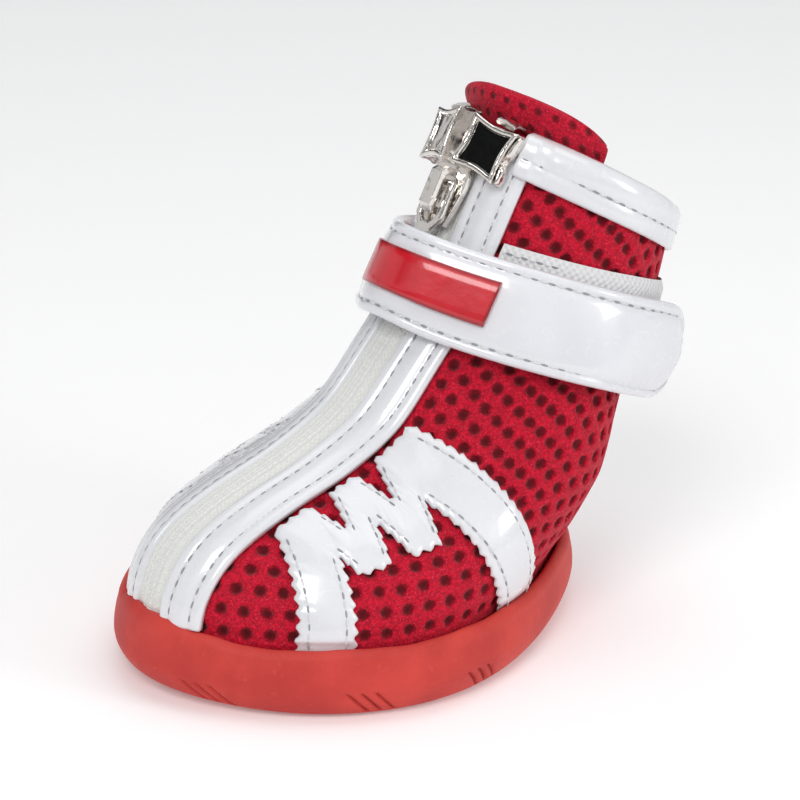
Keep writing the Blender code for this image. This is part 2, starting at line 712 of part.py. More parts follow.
def build_cap(side, name):
    """Square metal clip over the top end of a strip, with a raised frame on its face and a lip that
    turns down inside the collar."""
    half = CAP_WIDE / 2
    face_off = STRIP_LIFT + STRIP_THICK + GAP
    frame = stand(TOP - 0.02, side * CAP_PLACE)
    outline = [(-half, -CAP_TALL), (half, -CAP_TALL), (half, CAP_OVER), (-half, CAP_OVER)]
    body = prism(name, frame, outline, face_off, face_off + CAP_DEEP, METAL, 0.15, 1.0)
    lip_in, lip_out = sorted((side * -CAP_LIP_IN, side * CAP_LIP_OUT))
    back = -UPPER_WALL - 1.5 * GAP
    low, high = GAP + 2 * JOIN, CAP_OVER - JOIN
    top = prism("cap_top", frame, [(lip_in, low), (lip_out, low), (lip_out, high), (lip_in, high)],
                back - CAP_SHEET + JOIN, face_off + JOIN, METAL, 0.15, 1.0)
    lip_in, lip_out, high = lip_in - JOIN, lip_out + JOIN, high - JOIN
    low = -CAP_LIP_DOWN
    lip = prism("cap_lip", frame, [(lip_in, low), (lip_out, low), (lip_out, high), (lip_in, high)],
                back - CAP_SHEET, back, METAL, 0.15, 1.0)
    middle = (CAP_OVER - CAP_TALL) / 2
    rim = (half - CAP_RIM, (CAP_TALL + CAP_OVER) / 2 - CAP_RIM)
    count = 4
    spots = [(-1, -1), (1, -1), (1, 1), (-1, 1)]
    points = []
    for grow, z in ((0.0, CAP_DEEP - CAP_SINK), (0.35, CAP_DEEP + JOIN)):
        for sx, sy in spots:
            points.append(frame @ Vector((sx * (rim[0] + grow), middle + sy * (rim[1] + grow), face_off + z)))
    faces = [(0, 1, 2, 3), (4, 5, 6, 7)]
    faces += [(j, (j + 1) % count, count + (j + 1) % count, count + j) for j in range(count)]
    well = finish("cap_well", points, faces, METAL, 0.15, 1.0, smooth=False)
    merge(body, [top, lip])
    return merge(body, [well], "DIFFERENCE")


def slider_frame():
    """Frame in the middle of the slider's front plate."""
    return stand(below_top(0.0, CAP_TALL + 4 * GAP + SLIDER_LONG / 2), 0.0)


PLATE_OFF = STRIP_LIFT + STRIP_THICK + 0.1       # the strips have fallen away where the plate lies
BRIDGE_ROOM = TAB_THICK + 2 * GAP                # clear height under the bridge
TAB_AXIS_UP = 0.9                                # hinge line above the slider's middle
TAB_AXIS_OUT = PLATE_OFF + SLIDER_THICK + BRIDGE_ROOM / 2


def build_slider():
    """Front and back plate, the neck between them and the bridge that holds the pull tab."""
    frame = slider_frame()
    top, low = SLIDER_WIDE / 2, SLIDER_WIDE / 2 - SLIDER_TAPER
    tall = SLIDER_LONG / 2
    outline = [(-low, -tall), (low, -tall), (top, 0.2 * tall), (top, 0.7 * tall), (0.7 * top, tall),
               (-0.7 * top, tall), (-top, 0.7 * tall), (-top, 0.2 * tall)]
    plate = prism("zip_slider", frame, outline, PLATE_OFF, PLATE_OFF + SLIDER_THICK, METAL, 0.2, 1.0)
    back_half = SLOT_HALF - 2 * GAP
    back_low = -UPPER_WALL - SLIDER_THICK
    back = prism("slider_back", frame, [(-back_half, -tall), (back_half, -tall), (back_half, tall),
                                        (-back_half, tall)],
                 back_low, back_low + SLIDER_THICK, METAL, 0.2, 1.0)
    neck = prism("slider_neck", frame, [(-NECK_HALF, tall - NECK_TALL), (NECK_HALF, tall - NECK_TALL),
                                        (NECK_HALF, tall - JOIN), (-NECK_HALF, tall - JOIN)],
                 back_low + JOIN, PLATE_OFF + JOIN, METAL, 0.2, 1.0)
    # The bridge is an arch in the frame's y and z, drawn here from the plate's face.
    rise = BRIDGE_ROOM
    wall = BRIDGE_THICK
    up, down = BRIDGE_UP, -BRIDGE_DOWN
    arch = [(up, -JOIN), (up, rise), (up - BRIDGE_SLOPE, rise + wall), (down + BRIDGE_SLOPE, rise + wall),
            (down, rise), (down, -JOIN), (down + wall, -JOIN), (down + wall, rise - GAP),
            (down + wall + GAP, rise), (up - wall - GAP, rise), (up - wall, rise - GAP), (up - wall, -JOIN)]
    turned = frame @ Matrix(((0, 0, 1, 0), (1, 0, 0, 0), (0, 1, 0, PLATE_OFF + SLIDER_THICK), (0, 0, 0, 1)))
    bridge = prism("slider_bridge", turned, arch, -BRIDGE_WIDE / 2, BRIDGE_WIDE / 2, METAL, 0.2, 1.0)
    return merge(plate, [neck, back, bridge])


def build_pull_tab():
    """Flat tab with an eye round the slider's bridge. It hangs down behind the strap's edge."""
    frame = slider_frame() @ Matrix.Translation((0, TAB_AXIS_UP, TAB_AXIS_OUT))
    eye = BRIDGE_WIDE / 2 + GAP
    arm = eye + TAB_EYE_WALL
    bar = TAB_EYE_WALL / 2
    half = TAB_WIDE / 2
    eye_low = -(BRIDGE_DOWN + TAB_AXIS_UP) - GAP
    z = TAB_THICK / 2
    end, cut = -TAB_LONG, TAB_CORNER
    outline = [(-arm, bar), (-arm, eye_low), (-half, eye_low - TAB_NECK), (-half, end + cut),
               (-half + cut, end), (half - cut, end), (half, end + cut),
               (half, eye_low - TAB_NECK), (arm, eye_low), (arm, bar)]
    tab = prism("pull_tab", frame, outline, -z, z, METAL, 0.15, 1.0)
    hole = prism("tab_eye", frame, [(-eye, -bar), (-eye, eye_low), (-cut, eye_low - TAB_NECK / 2),
                                    (cut, eye_low - TAB_NECK / 2), (eye, eye_low), (eye, -bar)],
                 -z - 1, z + 1, METAL, 0.15, 1.0)
    return merge(tab, [hole], "DIFFERENCE")


def main():
    for obj in list(bpy.data.objects):
        bpy.data.objects.remove(obj)
    build_outsole()
    build_insole()
    build_upper()
    build_zip_tape()
    for side, name in ((1, "left"), (-1, "right")):
        build_strip(side, "front_strip_" + name)
        build_overlay(side, "side_overlay_" + name)
        build_cap(side, "zip_cap_" + name)
    build_slider()
    build_pull_tab()
    build_collar_binding()
    build_loop_tape()
    build_strap()
    build_label()
    build_tongue()


main()
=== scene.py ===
"""Looks of the small dog boot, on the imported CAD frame. Lengths are in millimetres until a mesh is made."""
import math

import bmesh
import bpy
import numpy as np
from mathutils import Matrix, Vector


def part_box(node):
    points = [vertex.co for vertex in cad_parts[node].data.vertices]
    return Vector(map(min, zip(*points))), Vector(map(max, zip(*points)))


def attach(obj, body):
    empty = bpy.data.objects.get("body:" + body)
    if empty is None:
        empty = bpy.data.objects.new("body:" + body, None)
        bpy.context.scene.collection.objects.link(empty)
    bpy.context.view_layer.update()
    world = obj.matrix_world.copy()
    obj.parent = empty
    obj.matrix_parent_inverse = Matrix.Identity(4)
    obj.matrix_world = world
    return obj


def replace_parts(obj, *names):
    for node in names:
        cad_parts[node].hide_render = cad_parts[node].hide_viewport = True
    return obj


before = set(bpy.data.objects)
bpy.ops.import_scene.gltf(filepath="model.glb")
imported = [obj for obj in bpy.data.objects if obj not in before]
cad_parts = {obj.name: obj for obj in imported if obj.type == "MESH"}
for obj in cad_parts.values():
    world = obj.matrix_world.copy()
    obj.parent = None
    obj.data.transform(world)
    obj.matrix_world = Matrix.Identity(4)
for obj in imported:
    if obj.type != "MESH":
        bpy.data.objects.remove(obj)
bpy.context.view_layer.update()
scene = bpy.context.scene
MM = 0.001
GAP = 0.3

# The boot's own function, as in the CAD.
SOLE_LENGTH, SOLE_WIDTH, SOLE_EGG, SOLE_PINCH, HEEL_ROUND = 51.2, 38.4, 0.19, 0.33, 0.3
SOLE_FLOOR, SOLE_EDGE, TOE_BUMPER, RIM_WALL, RIM_TAPER = 2.8, 6.8, 1.1, 1.1, 0.8
TOE_SPRING, SPRING_START = 1.0, 13.0
UPPER_WALL, COLLAR_FRONT_HEIGHT, COLLAR_BACK_HEIGHT = 1.4, 49.2, 38.6
COLLAR_FRONT_X, COLLAR_LENGTH, COLLAR_WIDTH = -14.6, 19.3, 22.0
# Columns: front x, front height, back x, back height, half width, egg, pinch.
SECTIONS = np.array([
    (0.000, 0.000, 0.00, 0.000, 0.00, SOLE_EGG, SOLE_PINCH),
    (0.010, 0.070, 0.08, 0.049, -0.03, 0.12, 0.32),
    (0.045, 0.138, 0.13, 0.104, 0.02, 0.00, 0.31),
    (0.105, 0.188, 0.17, 0.160, 0.10, -0.10, 0.31),
    (0.218, 0.240, 0.20, 0.212, 0.20, -0.18, 0.31),
    (0.395, 0.302, 0.23, 0.266, 0.30, -0.22, 0.30),
    (0.553, 0.380, 0.27, 0.337, 0.40, -0.20, 0.27),
    (0.678, 0.500, 0.35, 0.441, 0.53, -0.17, 0.23),
    (0.766, 0.601, 0.47, 0.526, 0.65, -0.14, 0.20),
    (0.853, 0.748, 0.72, 0.672, 0.80, -0.12, 0.17),
    (0.921, 0.870, 0.91, 0.839, 0.92, -0.10, 0.15),
    (1.000, 1.000, 1.00, 1.000, 1.00, -0.09, 0.14),
])
TOP = len(SECTIONS) - 1
FEATHER = RIM_TAPER + RIM_WALL + GAP
COLLAR_BACK_X = COLLAR_FRONT_X - COLLAR_LENGTH


def table_row(level):
    """Row of the section table at a level, with a smooth curve through its rows."""
    base = np.maximum(level, 0.0)
    i = np.minimum(base.astype(int), TOP - 1)
    t = (base - i)[..., None]
    p0, p1, p2, p3 = (SECTIONS[np.clip(i + k, 0, TOP)] for k in (-1, 0, 1, 2))
    rows = 0.5 * (2 * p1 + (p2 - p0) * t + (2 * p0 - 5 * p1 + 4 * p2 - p3) * t * t
                  + (3 * p1 - p0 - 3 * p2 + p3) * t ** 3)
    past = SECTIONS[-1] + (SECTIONS[-1] - SECTIONS[-2]) * (t - 1)
    return np.where(t > 1, past, rows)


def section(level):
    """Front x, front height, back x, back height, half width, egg and pinch at a level."""
    level = np.asarray(level, float)
    row = table_row(level)
    reach = SOLE_LENGTH / 2 - FEATHER
    sink = np.minimum(level, 0.0) * (SOLE_EDGE - SOLE_FLOOR - GAP)
    low = np.array([reach, SOLE_EDGE, -reach, SOLE_EDGE, SOLE_WIDTH / 2 - FEATHER])
    high = np.array([COLLAR_FRONT_X, COLLAR_FRONT_HEIGHT, COLLAR_BACK_X, COLLAR_BACK_HEIGHT,
                     COLLAR_WIDTH / 2])
    out = low + (high - low) * row[..., :5]
    out[..., 1] += sink
    out[..., 3] += sink
    return np.concatenate([out, row[..., 5:]], axis=-1)


def bulge(angle, egg, pinch):
    """Share of the half width at an angle from the toe."""
    c, s = np.cos(angle), np.sin(angle)
    blunt = np.maximum(np.abs(s), 1e-9) ** (-HEEL_ROUND * (1 - c) / 2)
    return s * blunt * (1 + egg * c - pinch * c * c)


def ring(level, angle):
    """Point of the upper's face."""
    level, angle = np.broadcast_arrays(np.asarray(level, float), np.asarray(angle, float))
    fx, fz, bx, bz, width, egg, pinch = np.moveaxis(section(level), -1, 0)
    c = np.cos(angle)
    return np.stack([(fx + bx) / 2 + (fx - bx) / 2 * c, width * bulge(angle, egg, pinch),
                     (fz + bz) / 2 + (fz - bz) / 2 * c], axis=-1)


def unit(v):
    return v / np.maximum(np.linalg.norm(v, axis=-1, keepdims=True), 1e-12)


def normal(level, angle):
    step = 0.02
    up = ring(np.asarray(level) + step, angle) - ring(np.asarray(level) - step, angle)
    around = ring(level, np.asarray(angle) + step) - ring(level, np.asarray(angle) - step)
    return unit(np.cross(around, up))


def skin(level, angle, off=0.0):
    """Point off the upper's face."""
    return ring(level, angle) + normal(level, angle) * np.asarray(off, float)[..., None]


def angle_at(level, y):
    """Angle at which the face is this far from the middle line."""
    level, y = np.broadcast_arrays(np.asarray(level, float), np.asarray(y, float))
    low, high = np.zeros(level.shape), np.full(level.shape, math.pi / 2)
    for _ in range(24):
        mid = (low + high) / 2
        under = ring(level, mid)[..., 1] < np.abs(y)
        low, high = np.where(under, mid, low), np.where(under, high, mid)
    return np.copysign(low, y)


def front_level(height):
    """Level whose front is at this height."""
    levels = np.linspace(0, TOP, 600)
    return float(np.interp(height, section(levels)[:, 1], levels))


def climb(level, angle):
    """Millimetres along the face for one level."""
    return np.linalg.norm(ring(level + 0.02, angle) - ring(level - 0.02, angle), axis=-1) / 0.04


def below_top(angle, down):
    """Level this far below the collar's edge."""
    return TOP - down / climb(np.full(np.shape(angle), TOP - 0.5), angle)


def smooth(t):
    t = np.clip(t, 0.0, 1.0)
    return t * t * (3 - 2 * t)


def wobble(a, b, seed, scale):
    """Soft repeatable unevenness from a few waves, about -1 to 1."""
    rng = np.random.default_rng(seed)
    total = 0.0
    for _ in range(6):
        ka, kb, phase = rng.normal(0, 1 / scale), rng.normal(0, 1 / scale), rng.uniform(0, 6.3)
        total = total + np.sin(ka * a + kb * b + phase)
    return total / 3.5


# Mesh making
def mesh_object(name, points, faces, uv=None, mat=None, far=None, body="boot"):
    """Object on the boot from points in mm. The second map holds the distance from a hole."""
    mesh = bpy.data.meshes.new(name)
    mesh.from_pydata((np.asarray(points, float).reshape(-1, 3) * MM).tolist(), [], faces)
    index = np.empty(len(mesh.loops), int)
    mesh.loops.foreach_get("vertex_index", index)
    for word, values in (("mm", uv), ("hole", far)):
        if values is not None:
            layer = mesh.uv_layers.new(name=word)
            layer.data.foreach_set("uv", np.asarray(values, float).reshape(-1, 2)[index].ravel())
    mesh.shade_smooth()
    mesh.validate()
    obj = bpy.data.objects.new(name, mesh)
    scene.collection.objects.link(obj)
    mesh.materials.append(mat)
    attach(obj, body)
    return obj


def quads(rows, cols, close_cols=False):
    """Faces of a grid of points."""
    i = np.arange(rows - 1)[:, None]
    j = np.arange(cols if close_cols else cols - 1)[None, :]
    i2, j2 = i + 1, (j + 1) % cols
    f = np.stack(np.broadcast_arrays(i * cols + j, i * cols + j2, i2 * cols + j2, i2 * cols + j), axis=-1)
    return f.reshape(-1, 4).tolist()


def sheet(name, points, mat, uv=None, flip=False, far=None):
    """Open piece from a grid of points."""
    rows, cols = points.shape[:2]
    faces = quads(rows, cols)
    if flip:
        faces = [f[::-1] for f in faces]
    return mesh_object(name, points, faces, uv, mat, far)


def loft(name, rings, mat, uv=None, sharp=None):
    """Closed body from rings of equal length, its two ends filled."""
    rows, cols = rings.shape[:2]
    faces = quads(rows, cols, close_cols=True)
    faces.append(list(range(cols)))
    faces.append([(rows - 1) * cols + j for j in range(cols)][::-1])
    obj = mesh_object(name, rings, faces, uv, mat)
    turn_out(obj)
    if sharp:
        obj.data.set_sharp_from_angle(angle=math.radians(sharp))
    return obj


def turn_out(obj):
    """Turn all faces outwards."""
    work = bmesh.new()
    work.from_mesh(obj.data)
    bmesh.ops.recalc_face_normals(work, faces=work.faces)
    work.to_mesh(obj.data)
    work.free()


def run_lengths(points):
    """Distance along the rows of a grid."""
    step = np.linalg.norm(np.diff(points, axis=0), axis=-1)
    return np.concatenate([np.zeros((1,) + step.shape[1:]), np.cumsum(step, axis=0)])


# Materials
def tree_of(name, color, rough, metal=0.0, **sockets):
    """New material with constant values on its shader's own sockets."""
    mat = bpy.data.materials.new(name)
    mat.use_nodes = True
    shader = mat.node_tree.nodes["Principled BSDF"]
    shader.inputs["Base Color"].default_value = (*color, 1)
    shader.inputs["Roughness"].default_value = rough
    shader.inputs["Metallic"].default_value = metal
    for key, value in sockets.items():
        shader.inputs[key.replace("_", " ")].default_value = value
    mat.diffuse_color = (*color, 1)
    return mat, Tree(mat.node_tree, shader)


class Tree:
    """Small helper to write node trees briefly."""

    def __init__(self, tree, shader):
        self.tree, self.shader = tree, shader

    def node(self, kind, **inputs):
        made = self.tree.nodes.new(kind)
        for key, value in inputs.items():
            socket = made.inputs[int(key[1:])] if key[0] == "i" and key[1:].isdigit() else made.inputs[key]
            if isinstance(value, bpy.types.NodeSocket):
                self.tree.links.new(value, socket)
            else:
                socket.default_value = value
        return made

    def math(self, op, a, b=0.0, c=0.0):
        made = self.node("ShaderNodeMath", i0=a, i1=b, i2=c)
        made.operation = op
        return made.outputs[0]

    def place(self):
        """Place on the object in mm."""
        coord = self.tree.nodes.new("ShaderNodeTexCoord")
        return self.node("ShaderNodeMapping", Vector=coord.outputs["Object"], Scale=(1 / MM,) * 3).outputs[0]

    def uv(self, word="mm"):
        made = self.tree.nodes.new("ShaderNodeUVMap")
        made.uv_map = word
        split = self.node("ShaderNodeSeparateXYZ", Vector=made.outputs[0])
        return split.outputs[0], split.outputs[1]

    def noise(self, scale, detail=3.0, rough=0.5):
        made = self.node("ShaderNodeTexNoise", Vector=self.place(), Scale=scale, Detail=detail,
                         Roughness=rough)
        return made.outputs[0]

    def step(self, value, low, high):
        made = self.node("ShaderNodeMapRange", Value=value)
        made.interpolation_type = "SMOOTHSTEP"
        for key, number in (("From Min", low), ("From Max", high)):
            made.inputs[key].default_value = number
        return made.outputs[0]

    def mix(self, share, a, b):
        made = self.tree.nodes.new("ShaderNodeMix")
        made.data_type = "RGBA"
        for socket, value in ((made.inputs[0], share), (made.inputs[6], a), (made.inputs[7], b)):
            if isinstance(value, bpy.types.NodeSocket):
                self.tree.links.new(value, socket)
            elif isinstance(value, tuple):
                socket.default_value = (*value, 1)
            else:
                socket.default_value = value
        return made.outputs[2]

    def color(self, socket):
        self.tree.links.new(socket, self.shader.inputs["Base Color"])

    def rough(self, socket):
        self.tree.links.new(socket, self.shader.inputs["Roughness"])

    def bump(self, height, distance, strength=1.0):
        made = self.node("ShaderNodeBump", Height=height, Distance=distance * MM, Strength=strength)
        self.tree.links.new(made.outputs[0], self.shader.inputs["Normal"])


HOLE_PITCH = 2.2
HOLE_ROW = HOLE_PITCH * 0.93


def hole_distance(points, u, v):
    """Distance on the surface from the nearest hole's middle, in mm, for a grid of points."""
    su, sv = u / HOLE_PITCH, v / HOLE_ROW
    su = su + 0.5 * (np.floor(sv) % 2)
    du, dv = (su - np.floor(su) - 0.5) * HOLE_PITCH, (sv - np.floor(sv) - 0.5) * HOLE_ROW
    pi, pj = np.gradient(points, axis=0), np.gradient(points, axis=1)
    ui, uj = np.gradient(u, axis=0), np.gradient(u, axis=1)
    vi, vj = np.gradient(v, axis=0), np.gradient(v, axis=1)
    det = ui * vj - uj * vi
    di, dj = (du * vj - dv * uj) / det, (dv * ui - du * vi) / det
    return np.linalg.norm(pi * di[..., None] + pj * dj[..., None], axis=-1)


def hole_nodes(t, pitch):
    """Distance from the nearest hole of a staggered pattern, from the map in mm."""
    u, v = t.uv()
    row = pitch * 0.866
    sv = t.math("DIVIDE", v, row)
    shift = t.math("MULTIPLY", t.math("FLOORED_MODULO", t.math("FLOOR", sv), 2.0), 0.5)
    su = t.math("ADD", t.math("DIVIDE", u, pitch), shift)
    cu = t.math("MULTIPLY", t.math("SUBTRACT", t.math("FRACT", su), 0.5), pitch * 0.92)
    cv = t.math("MULTIPLY", t.math("SUBTRACT", t.math("FRACT", sv), 0.5), row * 1.08)
    return t.math("SQRT", t.math("ADD", t.math("MULTIPLY", cu, cu), t.math("MULTIPLY", cv, cv)))


def mesh_cloth(name, hole, base, dark, pitch=None):
    """Air mesh: staggered holes painted dark as shade, darkest at their middles, in a fine knit with painted
    fibre glints. Without a pitch the mesh's own map gives them.
    """
    mat, t = tree_of(name, base, 0.72, Sheen_Weight=0.06, Sheen_Roughness=0.5, Specular_IOR_Level=0.2)
    far = hole_nodes(t, pitch) if pitch else t.uv("hole")[0]
    ragged = t.math("ADD", far, t.math("MULTIPLY", t.math("SUBTRACT", t.noise(1.7, 2), 0.5), 0.5))
    solid = t.step(ragged, hole * 0.62, hole * 1.25)
    knit = t.noise(3.6, 2, 0.6)
    fibre = t.noise(9.0, 1)
    tone = t.mix(t.step(knit, 0.35, 0.7), tuple(c * 0.62 for c in base), tuple(c * 1.12 for c in base))
    # Painted highlights: bright specks on the fibres, placed by noise.
    painted_glint = t.math("MULTIPLY", t.step(fibre, 0.62, 0.76), 0.6)
    tone = t.mix(painted_glint, tone, (0.9, 0.13, 0.18))
    # Painted shade in the holes: darkest at their middles, lighter towards the rims.
    deep = t.mix(t.step(far, hole * 0.2, hole), tuple(c * 0.5 for c in dark), tuple(c * 1.3 for c in dark))
    t.color(t.mix(solid, deep, tone))
    height = t.math("ADD", solid, t.math("MULTIPLY", t.math("ADD", knit, fibre), 0.22))
    t.bump(height, 0.34, 0.9)
    return mat


RED = (0.60, 0.002, 0.026)
# Painted shade colour inside the air mesh's holes.
HOLE_SHADE_RED = (0.15, 0.0, 0.006)
WHITE = (0.775, 0.78, 0.805)


def patent(name, color, lumps=0.5):
    """Glossy coated cloth with soft dents."""
    mat, t = tree_of(name, color, 0.24, Coat_Weight=0.7, Coat_Roughness=0.06, Specular_IOR_Level=0.5)
    soft = t.noise(0.09, 2)
    fine = t.noise(0.8, 2)
    t.color(t.mix(t.step(soft, 0.3, 0.7), tuple(c * 0.955 for c in color), color))
    t.rough(t.math("ADD", 0.2, t.math("MULTIPLY", fine, 0.12)))
    t.bump(t.math("ADD", soft, t.math("MULTIPLY", fine, 0.03)), 0.6 * lumps, 0.6)
    return mat


def rubber():
    """Moulded rubber with soft clouds and small bright marks."""
    mat, t = tree_of("rubber", (0.58, 0.045, 0.036), 0.62, Specular_IOR_Level=0.32)
    wide, fine = t.noise(0.16, 3), t.noise(1.6, 4, 0.6)
    tone = t.mix(t.step(wide, 0.3, 0.72), (0.50, 0.036, 0.030), (0.63, 0.055, 0.042))
    t.color(t.mix(t.math("MULTIPLY", t.step(fine, 0.58, 0.75), 0.35), tone, (0.72, 0.10, 0.08)))
    t.rough(t.math("ADD", 0.5, t.math("MULTIPLY", fine, 0.2)))
    t.bump(t.math("ADD", wide, t.math("MULTIPLY", fine, 0.35)), 0.22, 0.7)
    return mat


def nickel(name, color, rough=0.12, waves=0.3):
    """Cast and polished metal with soft waves."""
    mat, t = tree_of(name, color, rough, 1.0)
    wide, fine = t.noise(0.5, 2), t.noise(6.0, 3)
    t.rough(t.math("ADD", rough - 0.04, t.math("MULTIPLY", wide, 0.12)))
    t.bump(t.math("ADD", wide, t.math("MULTIPLY", fine, 0.03)), waves, 0.9)
    return mat


def woven(name, color, pitch, deep=0.12, dark=0.8):
    """Plain woven tape: threads across each other in the piece's own run."""
    mat, t = tree_of(name, color, 0.75, Sheen_Weight=0.2, Specular_IOR_Level=0.3)
    u, v = t.uv()
    wave_u = t.math("SINE", t.math("MULTIPLY", u, 2 * math.pi / pitch))
    wave_v = t.math("SINE", t.math("MULTIPLY", v, 2 * math.pi / pitch))
    weave = t.math("MULTIPLY_ADD", t.math("MULTIPLY", wave_u, wave_v), 0.5, 0.5)
    fuzz = t.noise(4.0, 3, 0.6)
    mixed = t.math("ADD", t.math("MULTIPLY", weave, 0.7), t.math("MULTIPLY", fuzz, 0.5))
    t.color(t.mix(t.step(mixed, 0.2, 0.8), tuple(c * dark for c in color), color))
    t.bump(mixed, deep, 0.8)
    return mat


def plain(name, color, rough, scale, spread=0.12, deep=0.05):
    """Quiet matt material with a fine grain."""
    mat, t = tree_of(name, color, rough)
    grain = t.noise(scale, 3)
    t.color(t.mix(t.step(grain, 0.3, 0.7), tuple(c * (1 - spread) for c in color), color))
    t.bump(grain, deep, 0.6)
    return mat


AIR_MESH = mesh_cloth("red_air_mesh", 0.56, RED, HOLE_SHADE_RED)
# The tongue's holes also get painted shade from its dark colour.
TONGUE_MESH = mesh_cloth("red_tongue_mesh", 0.34, (0.58, 0.003, 0.028), (0.24, 0.0, 0.010), 1.75)
LINING = plain("lining_cloth", (0.42, 0.006, 0.022), 0.9, 2.5)
PATENT = patent("white_patent", WHITE)
STRAP_PATENT = patent("strap_patent", (0.765, 0.77, 0.805), 0.9)
RUBBER = rubber()
NICKEL = nickel("nickel", (0.74, 0.70, 0.66))
# Near-black copy of the nickel for one cap's sunk face: a painted dark reflection.
PAINTED_DARK_REFLECTION = nickel("nickel_painted_dark_reflection", (0.028, 0.030, 0.028), 0.2, 0.06)
TAPE = woven("zip_tape", (0.78, 0.78, 0.75), 0.42, 0.06, 0.9)
LOOP = woven("loop_base", (0.77, 0.77, 0.775), 0.7, 0.2, 0.86)
THREAD = plain("thread", (0.74, 0.74, 0.76), 0.6, 6.0)
# Dark grey for the marks at the needle holes: painted shade in the dimples where the thread goes in.
NEEDLE_SHADE = plain("needle_hole_shade", (0.33, 0.33, 0.36), 0.8, 6.0)
FOOTBED = woven("footbed", (0.30, 0.30, 0.32), 0.9, 0.15, 0.7)


# Stitches
THREADS, HOLE_SHADES = [], []
STITCH = 1.5
MARK_HALF, MARK_WIDE, THREAD_WIDE, THREAD_HIGH = 0.38, 0.11, 0.13, 0.1


def stitch_line(points, normals, pitch=STITCH, lead=0.6):
    """Thread between needle holes along a line of points on a face, with a dark mark of painted shade at each
    hole.
    """
    points, normals = np.asarray(points, float), unit(np.asarray(normals, float))
    run = np.concatenate([[0], np.cumsum(np.linalg.norm(np.diff(points, axis=0), axis=1))])
    count = int((run[-1] - 2 * lead) / pitch)
    if count < 1:
        return
    spare = (run[-1] - count * pitch) / 2

    def at(s):
        p = np.array([np.interp(s, run, points[:, k]) for k in range(3)])
        n = np.array([np.interp(s, run, normals[:, k]) for k in range(3)])
        return p, n / np.linalg.norm(n)

    for i in range(count + 1):
        s = spare + i * pitch
        p, n = at(s)
        ahead = at(min(s + 0.1, run[-1]))[0] - at(max(s - 0.1, 0))[0]
        along = unit(ahead - n * ahead.dot(n))
        side = np.cross(n, along)
        # Dark mark at each needle hole: painted shade of its dimple.
        HOLE_SHADES.append((p + n * 0.03, along * MARK_HALF, side * MARK_WIDE, n * 0.03))
        if i < count:
            p2, n2 = at(s + pitch / 2)
            THREADS.append((p2 + n2 * 0.01, along * (pitch / 2 - 0.4), side * THREAD_WIDE, n2 * THREAD_HIGH))


def bead_mesh(name, beads, mat, dome):
    """One mesh of small flat domes, each from its middle, half length, half width and height."""
    around = 8
    points, faces = [], []
    for middle, along, side, up in beads:
        start = len(points)
        for shrink, lift in ((1.0, -1.0), (0.8, dome)):
            for k in range(around):
                a = 2 * math.pi * k / around
                points.append(middle + (along * math.cos(a) + side * math.sin(a)) * shrink + up * lift)
        points.append(middle + up)
        for k in range(around):
            n = (k + 1) % around
            faces.append([start + k, start + n, start + around + n, start + around + k])
            faces.append([start + around + k, start + around + n, start + 2 * around])
    return mesh_object(name, np.array(points), faces, None, mat)


SLOT_EDGE = 2.4
HOLE_SINK = 0.34


def slot_to_slot(levels, cols):
    """Grid of levels and angles from one edge of the front slot round the heel to the other."""
    start = angle_at(levels[:, 0], SLOT_EDGE)[:, None]
    angle = start + (2 * math.pi - 2 * start) * np.linspace(0, 1, cols)[None, :]
    return np.broadcast_to(levels, angle.shape), angle


def make_upper():
    """Air mesh outside with its holes pressed in, lining inside."""
    level, angle = slot_to_slot(np.linspace(-0.6, TOP + 0.02, 176)[:, None], 340)
    base = ring(level, angle)
    u = run_lengths(np.swapaxes(base, 0, 1)).T
    u = u - u[:, 170:171]
    tangent = unit(np.gradient(base, axis=1))
    rise = np.diff(base, axis=0)
    rise = rise - (rise * tangent[:-1]).sum(-1, keepdims=True) * tangent[:-1]
    v = np.concatenate([np.zeros((1, angle.shape[1])), np.cumsum(np.linalg.norm(rise, axis=-1), axis=0)])
    far = hole_distance(base, u, v)
    dip = -HOLE_SINK * (1 - smooth((far - 0.36) / 0.4))
    puff = 0.16 * wobble(u, v, 3, 7.0) - 0.05
    off = dip + puff * smooth((TOP - level) * 2)
    points = base + normal(level, angle) * off[..., None]
    obj = sheet("upper_mesh", points, AIR_MESH, np.stack([u, v], -1), far=np.stack([far, far], -1))
    level, angle = slot_to_slot(np.linspace(-0.9, TOP, 70)[:, None], 120)
    soft = 0.1 * wobble(level * 4, angle * 12, 5, 5.0)
    sheet("upper_lining", skin(level, angle, -UPPER_WALL + 0.1 + soft), LINING, flip=True)
    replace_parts(obj, "upper_shell")


BASE_LEVEL = front_level(SOLE_EDGE + TOE_BUMPER - 0.4)
STRIP_ROWS = (2.75, 4.72)
TAPE_HALF, TAPE_RIDGE, COIL_HALF = 2.1, 0.82, 1.3


def make_strip(side, name):
    """Patent strip beside the zip: soft between two stitch rows, with a thin rolled edge."""
    levels = np.linspace(BASE_LEVEL, TOP - 0.03, 150)[:, None]
    # Columns: distance from the middle line, height over the shell.
    profile = np.array([(1.75, 0.5), (1.8, 0.95), (1.95, 1.08), (2.3, 1.1), (2.62, 1.02), (2.75, 0.93),
                        (2.9, 1.02), (3.4, 1.13), (4.0, 1.15), (4.5, 1.08), (4.72, 0.95), (4.9, 1.02),
                        (5.25, 1.06), (5.55, 1.02), (5.7, 0.85), (5.72, 0.3), (3.8, 0.3), (1.8, 0.3)])
    y = side * profile[None, :, 0] * np.ones_like(levels)
    run = np.linspace(0, 55, 150)[:, None]
    off = profile[None, :, 1] + 0.06 * wobble(run, y, 11 + side, 4.0) * (profile[None, :, 1] > 0.8)
    level = np.broadcast_to(levels, y.shape)
    obj = loft(name, skin(level, angle_at(level, y), off), PATENT)
    for row in STRIP_ROWS:
        angle = angle_at(levels[:, 0], np.full(150, side * row))
        stitch_line(skin(levels[:, 0], angle, 0.98), normal(levels[:, 0], angle), 1.35)
    return obj


